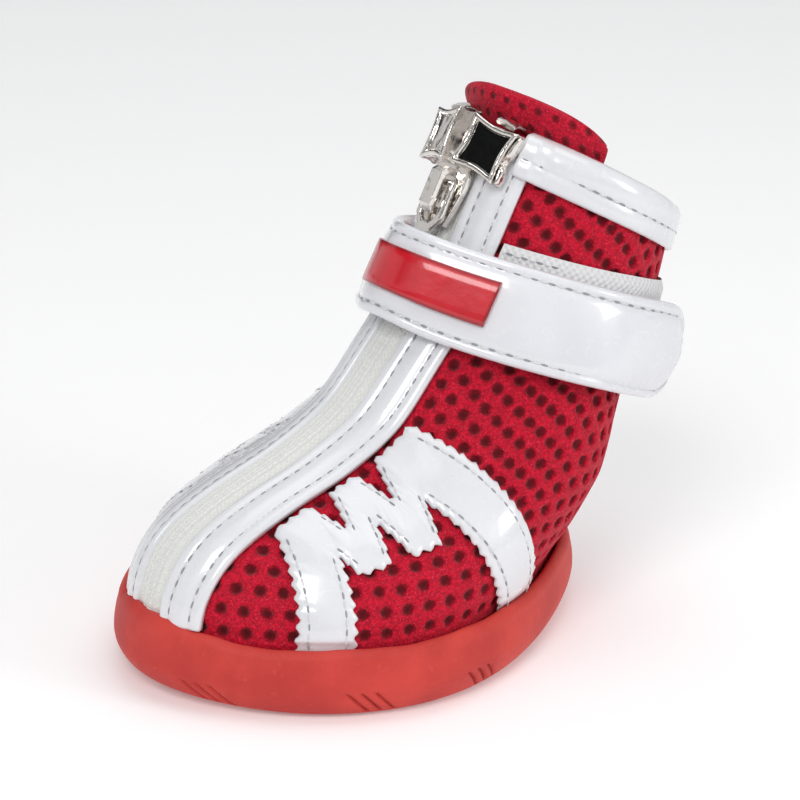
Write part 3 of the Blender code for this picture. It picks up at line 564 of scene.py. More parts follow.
def make_zip_tape():
    """Warm white woven tape with its coil as lengthwise ridges."""
    end = float(below_top(np.zeros(1), 4.2)[0])
    levels = np.linspace(BASE_LEVEL, end, 160)[:, None]
    y = np.linspace(-TAPE_HALF, TAPE_HALF, 43)[None, :] * np.ones_like(levels)
    ridge = 0.48 + 0.2 * np.abs(np.cos(math.pi * y / TAPE_RIDGE)) + 0.16 * np.exp(-(y / 0.9) ** 2)
    ridge = ridge - 0.2 * np.exp(-(y / 0.1) ** 2)
    run = np.linspace(0, 48, 160)[:, None]
    ridge = ridge + 0.05 * np.sin(2 * math.pi * run / 1.1) * (np.abs(y) < COIL_HALF)
    level = np.broadcast_to(levels, y.shape)
    points = skin(level, angle_at(level, y), ridge)
    uv = np.stack([y, np.broadcast_to(run, y.shape)], -1)
    obj = sheet("zip_tape_woven", points, TAPE, uv, flip=True)
    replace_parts(obj, "zip_tape")


BINDING_ROW, OVER_STRIP = 2.75, 0.85


def make_binding():
    """Patent band folded over the collar, laid over the strips' top ends beside the caps."""
    start = float(angle_at(TOP, 4.6))
    angles = np.linspace(start, 2 * math.pi - start, 220)[:, None]
    # Columns: distance off the shell, distance below the collar's edge.
    profile = np.array([(0.32, 4.5), (0.62, 4.55), (0.85, 4.35), (0.98, 3.7), (0.98, 3.0),
                        (0.86, BINDING_ROW), (0.98, 2.5), (1.08, 1.6), (1.02, 0.5), (0.7, -0.35),
                        (0.1, -0.85), (-0.7, -1.0), (-1.5, -0.85), (-2.1, -0.35), (-2.35, 0.5),
                        (-2.35, 1.6), (-2.2, 2.3), (-1.8, 2.3), (-1.7, 1.0), (-1.6, 0.1), (0.2, 0.1),
                        (0.3, 2.0)])
    off = profile[None, :, 0] * np.ones_like(angles)
    down = profile[None, :, 1] * np.ones_like(angles)
    y = np.abs(ring(TOP, angles)[..., 1])
    front = np.cos(angles) > 0
    over = np.where(front, 1 - smooth((y - 5.6) / 1.2), 0.0)
    run = angles * 12
    lump = 0.09 * wobble(run, down, 21, 2.2)
    outside = (np.arange(len(profile)) < 10)[None, :]
    off = off + np.where(outside, over * OVER_STRIP + lump, 0.0)
    level = below_top(np.broadcast_to(angles, off.shape), down)
    obj = loft("collar_binding_patent", skin(level, angles, off), PATENT)
    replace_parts(obj, "collar_binding")
    a = angles[:, 0]
    level = below_top(a, np.full(a.shape, BINDING_ROW))
    stitch_line(skin(level, a, 0.9 + over[:, 0] * OVER_STRIP), normal(level, a))


STRAP_FRONT_Z, STRAP_WIDE, STRAP_THICK = 34.2, 10.0, 1.3
STRAP_TAIL, STRAP_CORNER, STRAP_FRONT_ROOM = 6.2, 3.0, 1.7
STRAP_ROOT, STRAP_LEAVE, STRAP_SEWN = math.radians(-135), math.radians(112), math.radians(40)


def band_level(angle, shift):
    """Level of the strap's middle line, or this far above it."""
    angle, shift = np.broadcast_arrays(np.asarray(angle, float), np.asarray(shift, float))
    level = front_level(STRAP_FRONT_Z) + 0.28 * (1 - np.cos(angle)) / 2
    rough = level + shift / climb(level, angle)
    return level + shift / climb((level + rough) / 2, angle)


def strap_off(angle):
    """Room under the strap: none where it is sewn on, most over the zip."""
    sewn = smooth((angle - STRAP_ROOT) / STRAP_SEWN)
    clear = GAP + (0.4 + 0.7) * sewn
    return clear + STRAP_FRONT_ROOM * np.exp(-(np.degrees(angle) / 22) ** 2)


def strap_grid(shift, off):
    """Rows along the strap for columns of shift and off, straight on past the heel."""
    angles = np.linspace(STRAP_ROOT, STRAP_LEAVE, 150)[:, None]
    points = skin(band_level(angles, shift), angles, strap_off(angles) + off)
    middle = skin(band_level(angles[-2:], 0.0), angles[-2:], strap_off(angles[-2:]) + 0.65)
    ahead = unit(middle[1, 0] - middle[0, 0])
    edge = skin(band_level(angles[-1:], np.array([[5.0, -5.0]])), angles[-1:], strap_off(angles[-1:]))
    across = unit(edge[0, 0] - edge[0, 1])
    tail = []
    for share in np.linspace(0, 1, 26)[1:]:
        run = STRAP_TAIL * share
        past = max(0.0, run - (STRAP_TAIL - STRAP_CORNER)) / STRAP_CORNER
        trim = 1 - (1 - math.sqrt(max(0.0, 1 - past * past))) * 2 * STRAP_CORNER / STRAP_WIDE
        offset = (points[-1] - middle[1, 0]) @ across
        tail.append(points[-1] + ahead * run + across[None, :] * (offset * (trim - 1))[:, None])
    return np.concatenate([points, np.array(tail)])


def make_strap():
    """Patent strap with a stitch row along each edge and across its free end."""
    # Columns: distance above the strap's middle line, height over its inner face.
    profile = np.array([(-5.0, 0.25), (-5.05, 0.7), (-4.92, 1.1), (-4.6, 1.28), (-4.2, 1.25), (-4.0, 1.12),
                        (-3.8, 1.25), (-3.0, 1.42), (-1.5, 1.5), (0.0, 1.52), (1.5, 1.5), (3.0, 1.42),
                        (3.8, 1.25), (4.0, 1.12), (4.2, 1.25), (4.6, 1.28), (4.92, 1.1), (5.05, 0.7),
                        (5.0, 0.25), (3.0, 0.0), (0.0, 0.0), (-3.0, 0.0)])
    outer_middle, inner_middle = 9, 20
    points = strap_grid(profile[None, :, 0], profile[None, :, 1])
    run = run_lengths(points)[:, outer_middle:outer_middle + 1]
    outer = (profile[:, 1] > 0.6)[None, :]
    lift = 0.16 * wobble(run, profile[None, :, 0] * 1.5, 31, 6.0) * outer
    out = unit(points[:, outer_middle] - points[:, inner_middle])[:, None, :]
    obj = loft("ankle_strap_patent", points + out * lift[..., None], STRAP_PATENT)
    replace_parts(obj, "ankle_strap")
    from_end = 5
    for row in (-4.0, 4.0):
        line = strap_grid(np.array([[row]]), np.array([[1.2]]))[:-from_end, 0]
        under = strap_grid(np.array([[row]]), np.array([[0.2]]))[:-from_end, 0]
        stitch_line(line, line - under, 1.72)
    shift = np.linspace(-3.6, 3.6, 30)[None, :]
    cross = strap_grid(shift, np.full((1, 30), 1.46))[-from_end]
    below = strap_grid(shift, np.full((1, 30), 0.4))[-from_end]
    stitch_line(cross, cross - below, lead=0.0)


def make_loop_tape():
    """Woven base round the back of the ankle, under the strap."""
    start = float(angle_at(front_level(STRAP_FRONT_Z), 6.2))
    angles = np.linspace(start, math.radians(215), 160)[:, None]
    shift = np.linspace(6.7, -4.3, 15)[None, :]
    level = band_level(angles, shift)
    level = np.minimum(level, below_top(np.broadcast_to(angles, level.shape), 5.0) - np.arange(15) * 0.002)
    run = angles * 13
    off = 0.85 + 0.05 * wobble(run, shift, 41, 0.8)
    edge = np.array([0.3] + [1.0] * 13 + [0.3])
    points = skin(level, angles, 0.3 + (off - 0.3) * edge)
    uv = np.stack([np.broadcast_to(run, level.shape), np.broadcast_to(shift, level.shape)], -1)
    obj = sheet("loop_base", points, LOOP, uv, flip=True)
    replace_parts(obj, "loop_tape")
    a = np.linspace(start + 0.05, start + 0.42, 20)
    stitch_line(skin(band_level(a, 5.8), a, 0.9), normal(band_level(a, 5.8), a), lead=0.1)


# Side overlay. Columns: x, share of the way from the strip's edge to the rim.
ZIGZAG = [(13.7, 1.12), (11.9, 0.02), (8.0, 0.58), (6.5, 0.02), (2.9, 0.58), (1.4, 0.02), (-8.6, 1.12)]
STROKE_HALF, LEG_HALF, STRIP_OUT = 1.3, 2.1, 5.7
SHARES = np.linspace(-0.1, 1.15, 60)
TOOTH_PITCH, TOOTH_DEEP, OVERLAY_ROW = 1.3, 0.3, 0.8


def chart_table():
    """Level and angle for x and share, from the strip's edge down to the rim, as arrays to look up."""
    xs = np.linspace(-13, 20, 100)
    fronts = np.linspace(0, TOP, 900)
    front_x = section(fronts)[:, 0]
    tables = []
    for x in xs:
        low = float(np.interp(-x, -front_x, fronts))
        levels = np.concatenate([np.linspace(low, 0.0, 120), np.linspace(0.0, -0.5, 16)[1:]])
        row = section(levels)
        share = (x - (row[:, 0] + row[:, 2]) / 2) / ((row[:, 0] - row[:, 2]) / 2)
        angles = np.arccos(np.clip(share, -1, 1))
        points = ring(levels, angles)
        run = np.concatenate([[0], np.cumsum(np.linalg.norm(np.diff(points, axis=0), axis=1))])
        first = np.interp(STRIP_OUT + GAP, np.maximum.accumulate(points[:, 1]), run)
        want = first + (run[119] - 2 * GAP - first) * SHARES
        tables.append((np.interp(want, run, levels), np.interp(want, run, angles)))
    return xs, np.array(tables)


CHART_X, CHART = chart_table()


def chart(x, share):
    """Level and angle looked up in the chart."""
    i = np.clip((np.asarray(x) - CHART_X[0]) / (CHART_X[1] - CHART_X[0]), 0, len(CHART_X) - 1.001)
    j = np.clip((np.asarray(share) - SHARES[0]) / (SHARES[-1] - SHARES[0]) * 59, 0, 58.999)
    i0, j0 = i.astype(int), j.astype(int)
    fi, fj = i - i0, j - j0
    out = []
    for k in (0, 1):
        t = CHART[:, k]
        low = t[i0, j0] * (1 - fj) + t[i0, j0 + 1] * fj
        high = t[i0 + 1, j0] * (1 - fj) + t[i0 + 1, j0 + 1] * fj
        out.append(low * (1 - fi) + high * fi)
    return out


def rungs():
    """Pairs of points across the zigzag, at its ends and on both sides of each corner."""
    tall = SOLE_WIDTH / 3.2
    halves = []
    for (x0, s0), (x1, s1) in zip(ZIGZAG, ZIGZAG[1:]):
        slant = math.hypot(x1 - x0, (s1 - s0) * tall) / abs((s1 - s0) * tall)
        halves.append((LEG_HALF if max(s0, s1) > 1.0 else STROKE_HALF) * slant)
    first, last = ZIGZAG[0], ZIGZAG[-1]
    made = [((first[0] + halves[0], first[1]), (first[0] - halves[0], first[1]))]
    for i in range(1, len(ZIGZAG) - 1):
        (xa, sa), (x, s), (xb, sb) = ZIGZAG[i - 1:i + 2]
        ha, hb = halves[i - 1], halves[i]
        slope_a, slope_b = (xa - x) / (sa - s), (xb - x) / (sb - s)
        reach = (ha + hb) / (slope_a - slope_b)
        inner_x = x - ha + slope_a * reach
        inner = [(inner_x + 0.12, s + reach), (inner_x - 0.12, s + reach)]
        for one, two in zip([(x + ha, s), (x - hb, s)], inner):
            made.append((one, two) if reach > 0 else (two, one))
    made.append(((last[0] - halves[-1], last[1]), (last[0] + halves[-1], last[1])))
    return made


def steps_between(i, last):
    """Rows from one rung to the next: few across a corner, many along a leg."""
    return 10 if i % 2 else 46 if i in (0, last) else 26


def make_overlay(side, name):
    """Zigzag patent trim with pinked edges and a stitch row inside each edge."""
    ends = []
    made = rungs()
    for i, (rung, following) in enumerate(zip(made, made[1:])):
        count = steps_between(i, len(made) - 2)
        for t in np.arange(count) / count:
            ends.append([(1 - t) * np.array(p) + t * np.array(q) for p, q in zip(rung, following)])
    ends.append([np.array(p) for p in made[-1]])
    ends = np.array(ends)

    def on_face(xs, off):
        level, angle = chart(xs[..., 0], xs[..., 1])
        angle = angle * side
        return skin(level, angle, off), normal(level, angle)

    edge = [on_face(ends[:, k], 0.3)[0] for k in (0, 1)]
    wide = np.linalg.norm(edge[0] - edge[1], axis=1)
    teeth = []
    for k in (0, 1):
        run = np.concatenate([[0], np.cumsum(np.linalg.norm(np.diff(edge[k], axis=0), axis=1))])
        saw = np.abs((run / TOOTH_PITCH) % 1.0 - 0.5) * 2
        teeth.append((TOOTH_DEEP + 0.12 * smooth((wide - 3.2) / 0.6)) * smooth(saw))
    u = np.array([0.0, 0.03, 0.1, 0.2, 0.3, 0.4, 0.5, 0.6, 0.7, 0.8, 0.9, 0.97, 1.0])
    top = np.array([0.4, 0.6, 0.67, 0.71, 0.75, 0.77, 0.78, 0.77, 0.75, 0.71, 0.67, 0.6, 0.4])
    low, high = -teeth[0] / wide, 1 + teeth[1] / wide
    across = low[:, None] + (high - low)[:, None] * u[None, :]
    xs = ends[:, None, 0] * (1 - across[..., None]) + ends[:, None, 1] * across[..., None]
    run = np.arange(len(ends))[:, None] * 0.3
    off = top[None, :] + 0.05 * wobble(run, across * 5, 51, 2.0)
    tuck = 1 - 0.6 * smooth((xs[..., 1] - 0.98) / 0.06)
    outer = on_face(xs, off * tuck)[0]
    inner = on_face(xs[:, ::-1], np.full(off.shape, 0.2) * tuck)[0]
    obj = loft(name, np.concatenate([outer, inner], axis=1), PATENT, sharp=50)
    for share in (OVERLAY_ROW, -OVERLAY_ROW):
        inset = share / wide if share > 0 else 1 + share / wide
        line = ends[:, 0] * (1 - inset[:, None]) + ends[:, 1] * inset[:, None]
        corner = 0
        for i in range(len(made) - 1):
            count = steps_between(i, len(made) - 2)
            if i % 2 == 0:
                part = slice(corner + 2, corner + count - 1)
                points, normals = on_face(line[part], np.full(len(line[part]), 0.7))
                stitch_line(points, normals, 1.7, 0.1)
            corner += count
    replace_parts(obj, name.replace("_patent", ""))


def bevelled(node, name, width, body):
    """A hard CAD solid with its edges rounded."""
    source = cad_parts[node]
    source = bpy.data.objects[source] if isinstance(source, str) else source
    work = bmesh.new()
    work.from_mesh(source.data)
    bmesh.ops.remove_doubles(work, verts=work.verts, dist=1e-6)
    bmesh.ops.dissolve_limit(work, angle_limit=math.radians(2), verts=work.verts, edges=work.edges)
    joined = bpy.data.meshes.new(name)
    work.to_mesh(joined)
    work.free()
    obj = bpy.data.objects.new(name, joined)
    joined.materials.append(NICKEL)
    scene.collection.objects.link(obj)
    mod = obj.modifiers.new("edges", "BEVEL")
    mod.width, mod.segments = width * MM, 4
    mod.limit_method, mod.angle_limit = "ANGLE", math.radians(30)
    bpy.context.view_layer.update()
    mesh = bpy.data.meshes.new_from_object(obj.evaluated_get(bpy.context.evaluated_depsgraph_get()))
    obj.modifiers.clear()
    obj.data = mesh
    mesh.shade_smooth()
    mesh.set_sharp_from_angle(angle=math.radians(35))
    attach(obj, body)
    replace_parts(obj, node)


def stand(level, y):
    """Frame on the shell's front: x across to the left, y up the front, z outwards."""
    angle = float(angle_at(level, y))
    out = Vector(normal(level, angle))
    around = Vector(ring(level, angle + 0.02) - ring(level, angle - 0.02))
    across = (around - out * around.dot(out)).normalized()
    axes = Matrix((across, out.cross(across), out)).transposed().to_4x4()
    axes.translation = Vector(ring(level, angle))
    return axes


CAP_WIDE, CAP_TALL, CAP_OVER = 5.3, 5.1, 0.3
CAP_PLACE, CAP_TURN, CAP_WAIST, FOLD_HALF = 2.5, 6, 0.13, 0.26


def make_cap(side, name, face_mat):
    """Square clip: a bright rounded frame with hollow sides round a sunk face, a notched claw at its
    outer side, and a fold over the collar that ends in a lip inside it."""
    axes = stand(TOP - 0.05, side * CAP_PLACE) @ Matrix.Rotation(math.radians(-CAP_TURN * side), 4, "Z")
    mid_y = (CAP_OVER - CAP_TALL) / 2
    around = 96
    a = np.linspace(0, 2 * math.pi, around, endpoint=False) + math.pi / 4
    c, d = np.cos(a), np.sin(a)
    square = np.stack([c, d], -1) / np.maximum(np.abs(c), np.abs(d))[:, None]
    along = np.minimum(np.abs(square[:, 0]), np.abs(square[:, 1]))
    waist = 1 - CAP_WAIST * (1 - along ** 2)
    # Columns: inset from the outer edge, height over the shell.
    profile = [(0.35, 1.0), (0.05, 1.15), (0.0, 1.5), (0.12, 1.9), (0.16, 2.3), (0.05, 2.7), (0.02, 2.95),
               (0.1, 3.1), (0.3, 3.16), (0.52, 3.1), (0.62, 2.96), (0.66, 2.8), (0.72, 2.74)]
    rings = []
    for inset, height in profile:
        grow = np.array([CAP_WIDE / 2 - inset, (CAP_TALL + CAP_OVER) / 2 - inset])
        xy = square * grow * waist[:, None]
        rings.append([axes @ Vector((x, mid_y + y, height)) for x, y in xy])
    points = np.array(rings)
    rows = len(profile)
    faces = quads(rows, around, close_cols=True)
    faces.append(list(range(around))[::-1])
    inner = [(rows - 1) * around + k for k in range(around)]
    obj = mesh_object(name, points, faces + [inner], None, NICKEL)
    obj.data.materials.append(face_mat)
    turn_out(obj)
    obj.data.polygons[-1].material_index = 1
    obj.data.set_sharp_from_angle(angle=math.radians(48))
    # Claw: a bar folded down at the outer side, its middle cut by a round notch.
    rows = []
    for t in np.linspace(-1, 1, 41):
        y = mid_y + t * (CAP_TALL + CAP_OVER) / 2 * 0.93
        notch = 0.42 * math.exp(-((t + 0.1) / 0.22) ** 2)
        waist_here = (1 - CAP_WAIST * (1 - t * t)) * CAP_WIDE / 2
        thick = 0.32 * math.sqrt(max(1 - abs(t) ** 8, 0.05))
        row = []
        for k in range(12):
            b = 2 * math.pi * k / 12
            x = waist_here + 0.22 - notch * 0.6 + thick * 1.1 * math.cos(b)
            z = 1.95 - notch + (0.85 - notch * 0.4) * math.sin(b)
            row.append(axes @ Vector((side * x, y, z)))
        rows.append(row)
    claw = loft(name + "_claw", np.array(rows), NICKEL)
    # Fold over the collar and the lip inside.
    line = [(0.45, 2.2), (0.95, 1.7), (1.05, 0.8), (1.05, -0.5), (0.95, -1.6), (0.6, -2.15), (-0.4, -2.25),
            (-2.5, -2.2)]
    rows = []
    for k, (y, z) in enumerate(line):
        y0, z0 = line[max(k - 1, 0)]
        y1, z1 = line[min(k + 1, len(line) - 1)]
        run = Vector((y1 - y0, z1 - z0)).normalized() * FOLD_HALF
        corners = ((-0.5, -1), (1.5, -1), (1.6, 0), (1.5, 1), (-0.5, 1), (-0.6, 0))
        rows.append([axes @ Vector((side * x, y - run[1] * e, z + run[0] * e)) for x, e in corners])
    fold = loft(name + "_fold", np.array(rows), NICKEL, sharp=50)
    for piece in (obj, claw, fold):
        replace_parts(piece, "zip_cap_left" if side > 0 else "zip_cap_right")


LABEL_LONG, LABEL_SHIFT, LABEL_TALL, LABEL_RAISE, LABEL_EDGE = 16.0, 3.2, 4.7, 0.4, 0.28


def label_red():
    """Glossy red with a thin darker border."""
    mat, t = tree_of("label_red", (0.55, 0.002, 0.012), 0.3, Coat_Weight=0.6, Coat_Roughness=0.08)
    u, v = t.uv()
    edge = t.math("MAXIMUM", t.math("SUBTRACT", t.math("ABSOLUTE", u), LABEL_LONG / 2 - LABEL_EDGE),
                  t.math("SUBTRACT", t.math("ABSOLUTE", v), LABEL_TALL / 2 - LABEL_EDGE))
    fine = t.noise(0.7, 3)
    tone = t.mix(t.step(fine, 0.3, 0.7), (0.52, 0.002, 0.011), (0.58, 0.004, 0.015))
    t.color(t.mix(t.step(edge, -0.05, 0.05), tone, (0.33, 0.0, 0.008)))
    t.bump(fine, 0.06, 0.6)
    return mat


def make_label():
    """Bare patch on the strap over the zip."""
    def place(angle, shift, off):
        return skin(band_level(angle, shift), angle, strap_off(angle) + off)

    radius = float(np.linalg.norm(place(0.0, 0.0, STRAP_THICK) - place(0.2, 0.0, STRAP_THICK))) / 0.2
    u = np.linspace(-LABEL_LONG / 2, LABEL_LONG / 2, 90)[:, None]
    half = LABEL_TALL / 2
    shift = [half, half + 0.02, half - 0.1, half / 2, 0, -half / 2, 0.1 - half, -half - 0.02, -half]
    shift = np.array(shift)[None, :]
    off = np.array([1.45, 1.85, 1.97, 2.0, 2.0, 2.0, 1.97, 1.85, 1.45])[None, :]
    off = off + 0.03 * wobble(u, shift, 81, 3.0)
    angle = (u + LABEL_SHIFT) / radius + 0 * shift
    points = place(angle, shift + LABEL_RAISE, off)
    uv = np.stack(np.broadcast_arrays(u, shift), -1)
    obj = loft("strap_label_bare", points, label_red(), uv)
    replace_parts(obj, "strap_label")


TREAD_START, TREAD_WIDE, TREAD_GAP, TREAD_DEEP = 2.2, 2.4, 1.8, 0.8
SIDE_CUT_X, SIDE_CUT_PITCH, SIDE_CUT_HEIGHT, SIDE_CUT_DEEP = (22.2, 10.6, -1.6), 1.3, 1.7, 0.45
SIDE_CUT_LINE = 0.75


def sole_outline(inset, angle):
    """Outline of the sole, this far inside its widest line."""
    x = (SOLE_LENGTH / 2 - inset) * np.cos(angle)
    return x, (SOLE_WIDTH / 2 - inset) * bulge(angle, SOLE_EGG, SOLE_PINCH)


def make_outsole():
    """Moulded cup sole with a soft uneven rim, a scalloped toe bumper, slanting cuts and tread grooves."""
    around = 560
    angle = np.linspace(0, 2 * math.pi, around, endpoint=False)[None, :]
    inner = RIM_TAPER + RIM_WALL
    # Columns: inset from the widest line, height, share of the toe bumper's rise.
    side = np.array([
        (inner, SOLE_FLOOR, 0.0), (inner, SOLE_EDGE - 1.2, 0.5), (inner - 0.02, SOLE_EDGE - 0.35, 1.0),
        (inner - 0.2, SOLE_EDGE - 0.05, 1.0), (inner - 0.55, SOLE_EDGE + 0.04, 1.0),
        (RIM_TAPER + 0.15, SOLE_EDGE - 0.1, 1.0), (RIM_TAPER - 0.25, SOLE_EDGE - 0.5, 0.85),
        (0.4, SOLE_EDGE - 1.2, 0.6), (0.2, 0.72 * SOLE_EDGE, 0.3), (0.05, 0.6 * SOLE_EDGE, 0.1),
        (0.0, 0.48 * SOLE_EDGE, 0.0), (0.1, 0.38 * SOLE_EDGE, 0.0), (0.35, 0.28 * SOLE_EDGE, 0.0),
        (0.7, 0.18 * SOLE_EDGE, 0.0), (1.1, 0.1 * SOLE_EDGE, 0.0), (1.6, 0.035 * SOLE_EDGE, 0.0),
        (TREAD_START, 0.0, 0.0)])
    fine = np.linspace(0, len(side) - 1, 70)
    cols = [np.interp(fine, np.arange(len(side)), side[:, k]) for k in range(3)]
    kernel = np.array([1, 2, 3, 2, 1]) / 9
    for k in range(3):
        padded = np.concatenate([cols[k][:1].repeat(2), cols[k], cols[k][-1:].repeat(2)])
        cols[k] = np.convolve(padded, kernel, "valid")
    groove = []
    inset = TREAD_START + TREAD_WIDE
    for _ in range(3):
        groove += [(inset - 0.05, 0.0), (inset + 0.25, TREAD_DEEP), (inset + 1.55, TREAD_DEEP),
                   (inset + 1.85, 0.0)]
        inset += TREAD_GAP + TREAD_WIDE
    insets = np.concatenate([cols[0], [g[0] for g in groove]])[:, None]
    heights = np.concatenate([cols[1], [g[1] for g in groove]])[:, None]
    rises = np.concatenate([cols[2], np.zeros(len(groove))])[:, None]
    off_toe = np.abs(np.remainder(angle + math.pi, 2 * math.pi) - math.pi)
    bump = 0.5 + 0.5 * np.cos(math.pi * np.minimum(off_toe / math.radians(42), 1))
    scallop = 0.35 * np.abs(np.sin(off_toe * 9.0)) * smooth((math.radians(34) - off_toe) / 0.15)
    x, y = sole_outline(insets, angle)
    z = heights + rises * (TOE_BUMPER * bump + scallop * 0.8)
    z = z + 0.1 * wobble(x, y, 61, 2.0) * rises
    spring = np.maximum(0.0, (x - SPRING_START) / (SOLE_LENGTH / 2 - SPRING_START))
    below = np.maximum(0.0, 1 - z / (SOLE_EDGE / 2))
    outside = (insets < inner - 0.1) | (heights < SOLE_FLOOR)
    z = z + np.where(outside, TOE_SPRING * spring ** 2 * below, 0.0)
    points = np.stack([x, y, z], -1)
    out = np.stack([np.cos(angle), np.sin(angle), np.zeros_like(angle)], -1)
    out = np.broadcast_to(out, points.shape)
    cut = np.zeros(x.shape)
    edge_x, edge_y = sole_outline(SIDE_CUT_LINE, angle[0])
    edge_run = np.concatenate([[0], np.cumsum(np.hypot(np.diff(edge_x), np.diff(edge_y)))])
    for group in SIDE_CUT_X:
        for hand in (1, -1):
            place = math.acos(group / (SOLE_LENGTH / 2 - SIDE_CUT_LINE))
            middle = np.interp(place if hand > 0 else 2 * math.pi - place, angle[0], edge_run)
            for k in (-1, 0, 1):
                line = (edge_run[None, :] - middle - SIDE_CUT_PITCH * k) * hand + (z - SIDE_CUT_HEIGHT) * 0.9
                near = np.exp(-(line / 0.2) ** 2) * smooth((1.35 - np.abs(z - 1.75)) / 0.4)
                cut = np.maximum(cut, near)
    points = points - out * (SIDE_CUT_DEEP * cut * (insets < 1.9))[..., None]
    faces = quads(len(insets), around, close_cols=True)
    faces.append(list(range(around)))
    faces.append([(len(insets) - 1) * around + j for j in range(around)][::-1])
    obj = mesh_object("outsole_rubber", points, faces, None, RUBBER)
    turn_out(obj)
    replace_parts(obj, "outsole")


def make_footbed():
    """Insole inside the cup, dished a little, with rounded edges."""
    low, high = (np.array(corner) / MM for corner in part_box("insole"))
    angle = np.linspace(0, 2 * math.pi, 200, endpoint=False)
    x, y = sole_outline(SOLE_LENGTH / 2 - high[0] + 0.1, angle)
    # Columns: share of the outline, height over the insole's foot.
    profile = [(0.03, 0.0), (0.5, 0.0), (0.97, 0.0), (1.0, 0.2), (1.0, 1.2), (0.99, 1.45), (0.97, 1.56),
               (0.93, 1.58)]
    profile += [(share, 1.2 + 0.36 * share ** 2) for share in np.linspace(0.9, 0.03, 30)]
    rows = [np.stack([x * share, y * share, np.full(200, low[2] + rise)], -1) for share, rise in profile]
    points = np.array(rows)
    obj = loft("footbed", points, FOOTBED, points[..., :2])
    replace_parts(obj, "insole")


TONGUE_HALF, TONGUE_FLAT, TONGUE_RISE, TONGUE_ROOT, TONGUE_THICK = 10.6, 10.4, 4.1, 9.0, 2.0
TONGUE_BACK, TONGUE_LEAN = 4.9, 1.9


def make_tongue():
    """Padded tongue: a pillow with a seam near its edge, standing up behind the caps."""
    root = front_level(STRAP_FRONT_Z - TONGUE_ROOT)
    tip = TOP + TONGUE_RISE / (section(TOP)[1] - section(TOP - 1)[1])
    crown = tip - 0.62
    rows, cols = 130, 110
    levels = np.concatenate([np.linspace(root, crown, 90)[:-1], np.linspace(crown, tip, rows - 89)])[:, None]
    past = np.maximum(0.0, (levels - crown) / (tip - crown))
    rise = np.clip((levels - TOP + 0.25) / (tip - TOP + 0.25), 0, 1)
    round_top = np.maximum(1 - past ** 4.0, 0.0) ** 0.4
    share = np.linspace(-1, 1, cols)[None, :]
    slim = np.sqrt(np.maximum(1 - np.abs(share) ** 3.2, 0.0))
    half = TONGUE_HALF * np.maximum(round_top, 0.06) * (1 + 0.02 * rise)
    y = np.clip(half * share, -10.75 - 2 * rise, 10.75 + 2 * rise)
    spread = (y / TONGUE_HALF) ** 2 * np.sign(y)
    corner = rise * (half * share / TONGUE_HALF) ** 2
    held = np.clip(y, -TONGUE_FLAT, TONGUE_FLAT)
    grids = []
    for face in (1, -1):
        thick = TONGUE_THICK * slim * np.maximum(round_top, 0.0) ** 0.6 * np.clip((levels - root) * 6, 0.3, 1)
        seam = np.exp(-((1 - np.abs(share)) * half / 0.5 - 2.2) ** 2) * 0.22
        puff = 0.12 * wobble(y, levels * 5, 71 + face, 3.0)
        off = 3.0 * rise * (2 - rise) - TONGUE_BACK + face * (thick - seam * slim + puff * slim)
        p = skin(levels, angle_at(levels, held), off)
        p[..., 1] += y - held
        p[..., 0] += rise * (TONGUE_LEAN - 1.3 * spread) + 1.7 * corner
        p[..., 2] += 1.5 * corner
        grids.append(p)
    front, back = grids
    points = np.concatenate([front, back[:, ::-1]], axis=1)
    widths = [run_lengths(np.swapaxes(grid, 0, 1)).T for grid in grids]
    widths = [width - width[:, cols // 2:cols // 2 + 1] for width in widths]
    across = np.concatenate([widths[0], 30 - widths[1][:, ::-1]], axis=1)
    up = np.broadcast_to(levels * 5.2, across.shape)
    obj = loft("tongue_pad", points, TONGUE_MESH, np.stack([across, up], -1))
    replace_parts(obj, "tongue")


FRAME, BOOT_X, BOOT_Y, SENSOR = 800, 583, 504, 36
CAMERA_PLACE = (0.1566, 0.2077, 0.1210)


def make_camera():
    """The photo's own viewpoint, turned to the boot's middle in it and brought closer by the lens."""
    pitch, yaw, focal, zoom = math.radians(17.46), math.radians(57.92), 1928.6, 1.5
    a = -math.pi / 2 - yaw
    right = Vector((math.cos(a), -math.sin(a), 0))
    ahead = Vector((math.sin(a), math.cos(a), 0))
    look = ahead * math.cos(pitch) - Vector((0, 0, math.sin(pitch)))
    up = right.cross(look)
    aim = (look * focal + right * (BOOT_X - FRAME / 2) - up * (BOOT_Y - FRAME / 2)).normalized()
    turn = look.rotation_difference(aim)
    right, up = turn @ right, turn @ up
    data = bpy.data.cameras.new("camera")
    data.sensor_width = SENSOR
    data.lens = focal * zoom / FRAME * SENSOR
    data.clip_start = 0.01
    obj = bpy.data.objects.new("camera", data)
    obj.matrix_world = Matrix.Translation(CAMERA_PLACE) @ Matrix((right, up, -aim)).transposed().to_4x4()
    scene.collection.objects.link(obj)
    scene.camera = obj


def area(name, place, target, size, power):
    """Square soft light."""
    data = bpy.data.lights.new(name, "AREA")
    data.shape, data.size, data.energy = "SQUARE", size, power
    obj = bpy.data.objects.new(name, data)
    obj.location = place
    obj.rotation_euler = (Vector(target) - Vector(place)).to_track_quat("-Z", "Y").to_euler()
    scene.collection.objects.link(obj)


FLOOR_HALF, FLOOR_GLOW, SKY = 1.5, 0.19, 0.56


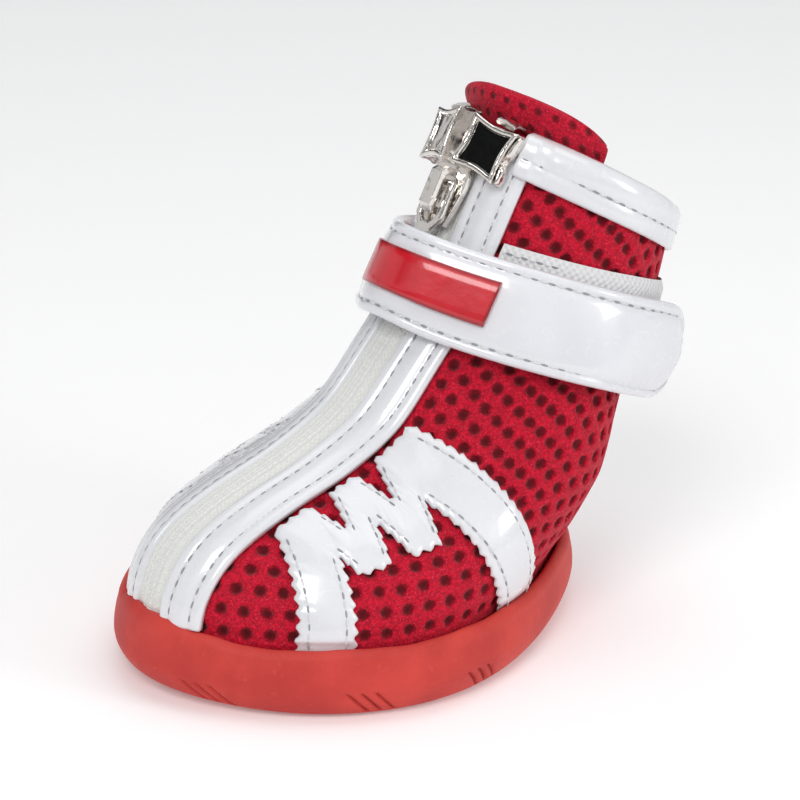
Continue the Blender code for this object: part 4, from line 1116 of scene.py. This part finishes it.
def make_stage():
    """Plain pale floor, soft sky with a few darker patches for the metal, three lights."""
    mesh = bpy.data.meshes.new("floor")
    corners = [(x * FLOOR_HALF, y * FLOOR_HALF, -0.0001) for x, y in ((-1, -1), (1, -1), (1, 1), (-1, 1))]
    mesh.from_pydata(corners, [], [(0, 1, 2, 3)])
    floor = bpy.data.objects.new("floor", mesh)
    scene.collection.objects.link(floor)
    paper = plain("floor_paper", (0.88, 0.88, 0.88), 0.8, 0.4, 0.01, 0.01)
    shader = paper.node_tree.nodes["Principled BSDF"]
    shader.inputs["Emission Color"].default_value = (1, 1, 1, 1)
    shader.inputs["Emission Strength"].default_value = FLOOR_GLOW
    mesh.materials.append(paper)
    world = bpy.data.worlds.new("studio")
    world.use_nodes = True
    nodes = world.node_tree.nodes
    nodes["Background"].inputs[1].default_value = SKY
    tree = Tree(world.node_tree, nodes["Background"])
    direction = tree.tree.nodes.new("ShaderNodeTexCoord").outputs["Generated"]
    patches = tree.node("ShaderNodeTexNoise", Vector=direction, Scale=2.2, Detail=1.0)
    shade = tree.mix(tree.step(patches.outputs[0], 0.41, 0.57), (0.06, 0.06, 0.065), (1.25, 1.26, 1.28))
    tree.tree.links.new(shade, nodes["Background"].inputs[0])
    scene.world = world
    area("key", (0.34, 0.26, 0.42), (-0.005, 0, 0.02), 0.22, 1.35)
    area("top", (-0.10, 0.02, 0.55), (-0.005, 0, 0.02), 0.4, 0.7)
    area("side", (-0.25, 0.42, 0.22), (0, 0, 0.02), 0.16, 0.5)
    scene.view_settings.view_transform = "Standard"
    scene.view_settings.look = "None"


make_camera()
make_stage()
make_upper()
for hand, word in ((1, "left"), (-1, "right")):
    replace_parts(make_strip(hand, "front_strip_" + word + "_patent"), "front_strip_" + word)
    make_overlay(hand, "side_overlay_" + word + "_patent")
make_zip_tape()
make_binding()
make_strap()
make_loop_tape()
make_outsole()
# The left cap's face gets the painted dark reflection; the right cap's face is plain nickel.
make_cap(1, "zip_cap_left_nickel", PAINTED_DARK_REFLECTION)
make_cap(-1, "zip_cap_right_nickel", NICKEL)
make_label()
bevelled("zip_slider", "zip_slider_nickel", 0.22, "boot")
bevelled("pull_tab", "pull_tab_nickel", 0.2, "pull_tab")
make_tongue()
make_footbed()
bead_mesh("stitch_threads", THREADS, THREAD, 0.6)
# Dark marks at the needle holes, painted shade.
bead_mesh("stitch_holes", HOLE_SHADES, NEEDLE_SHADE, 0.5)
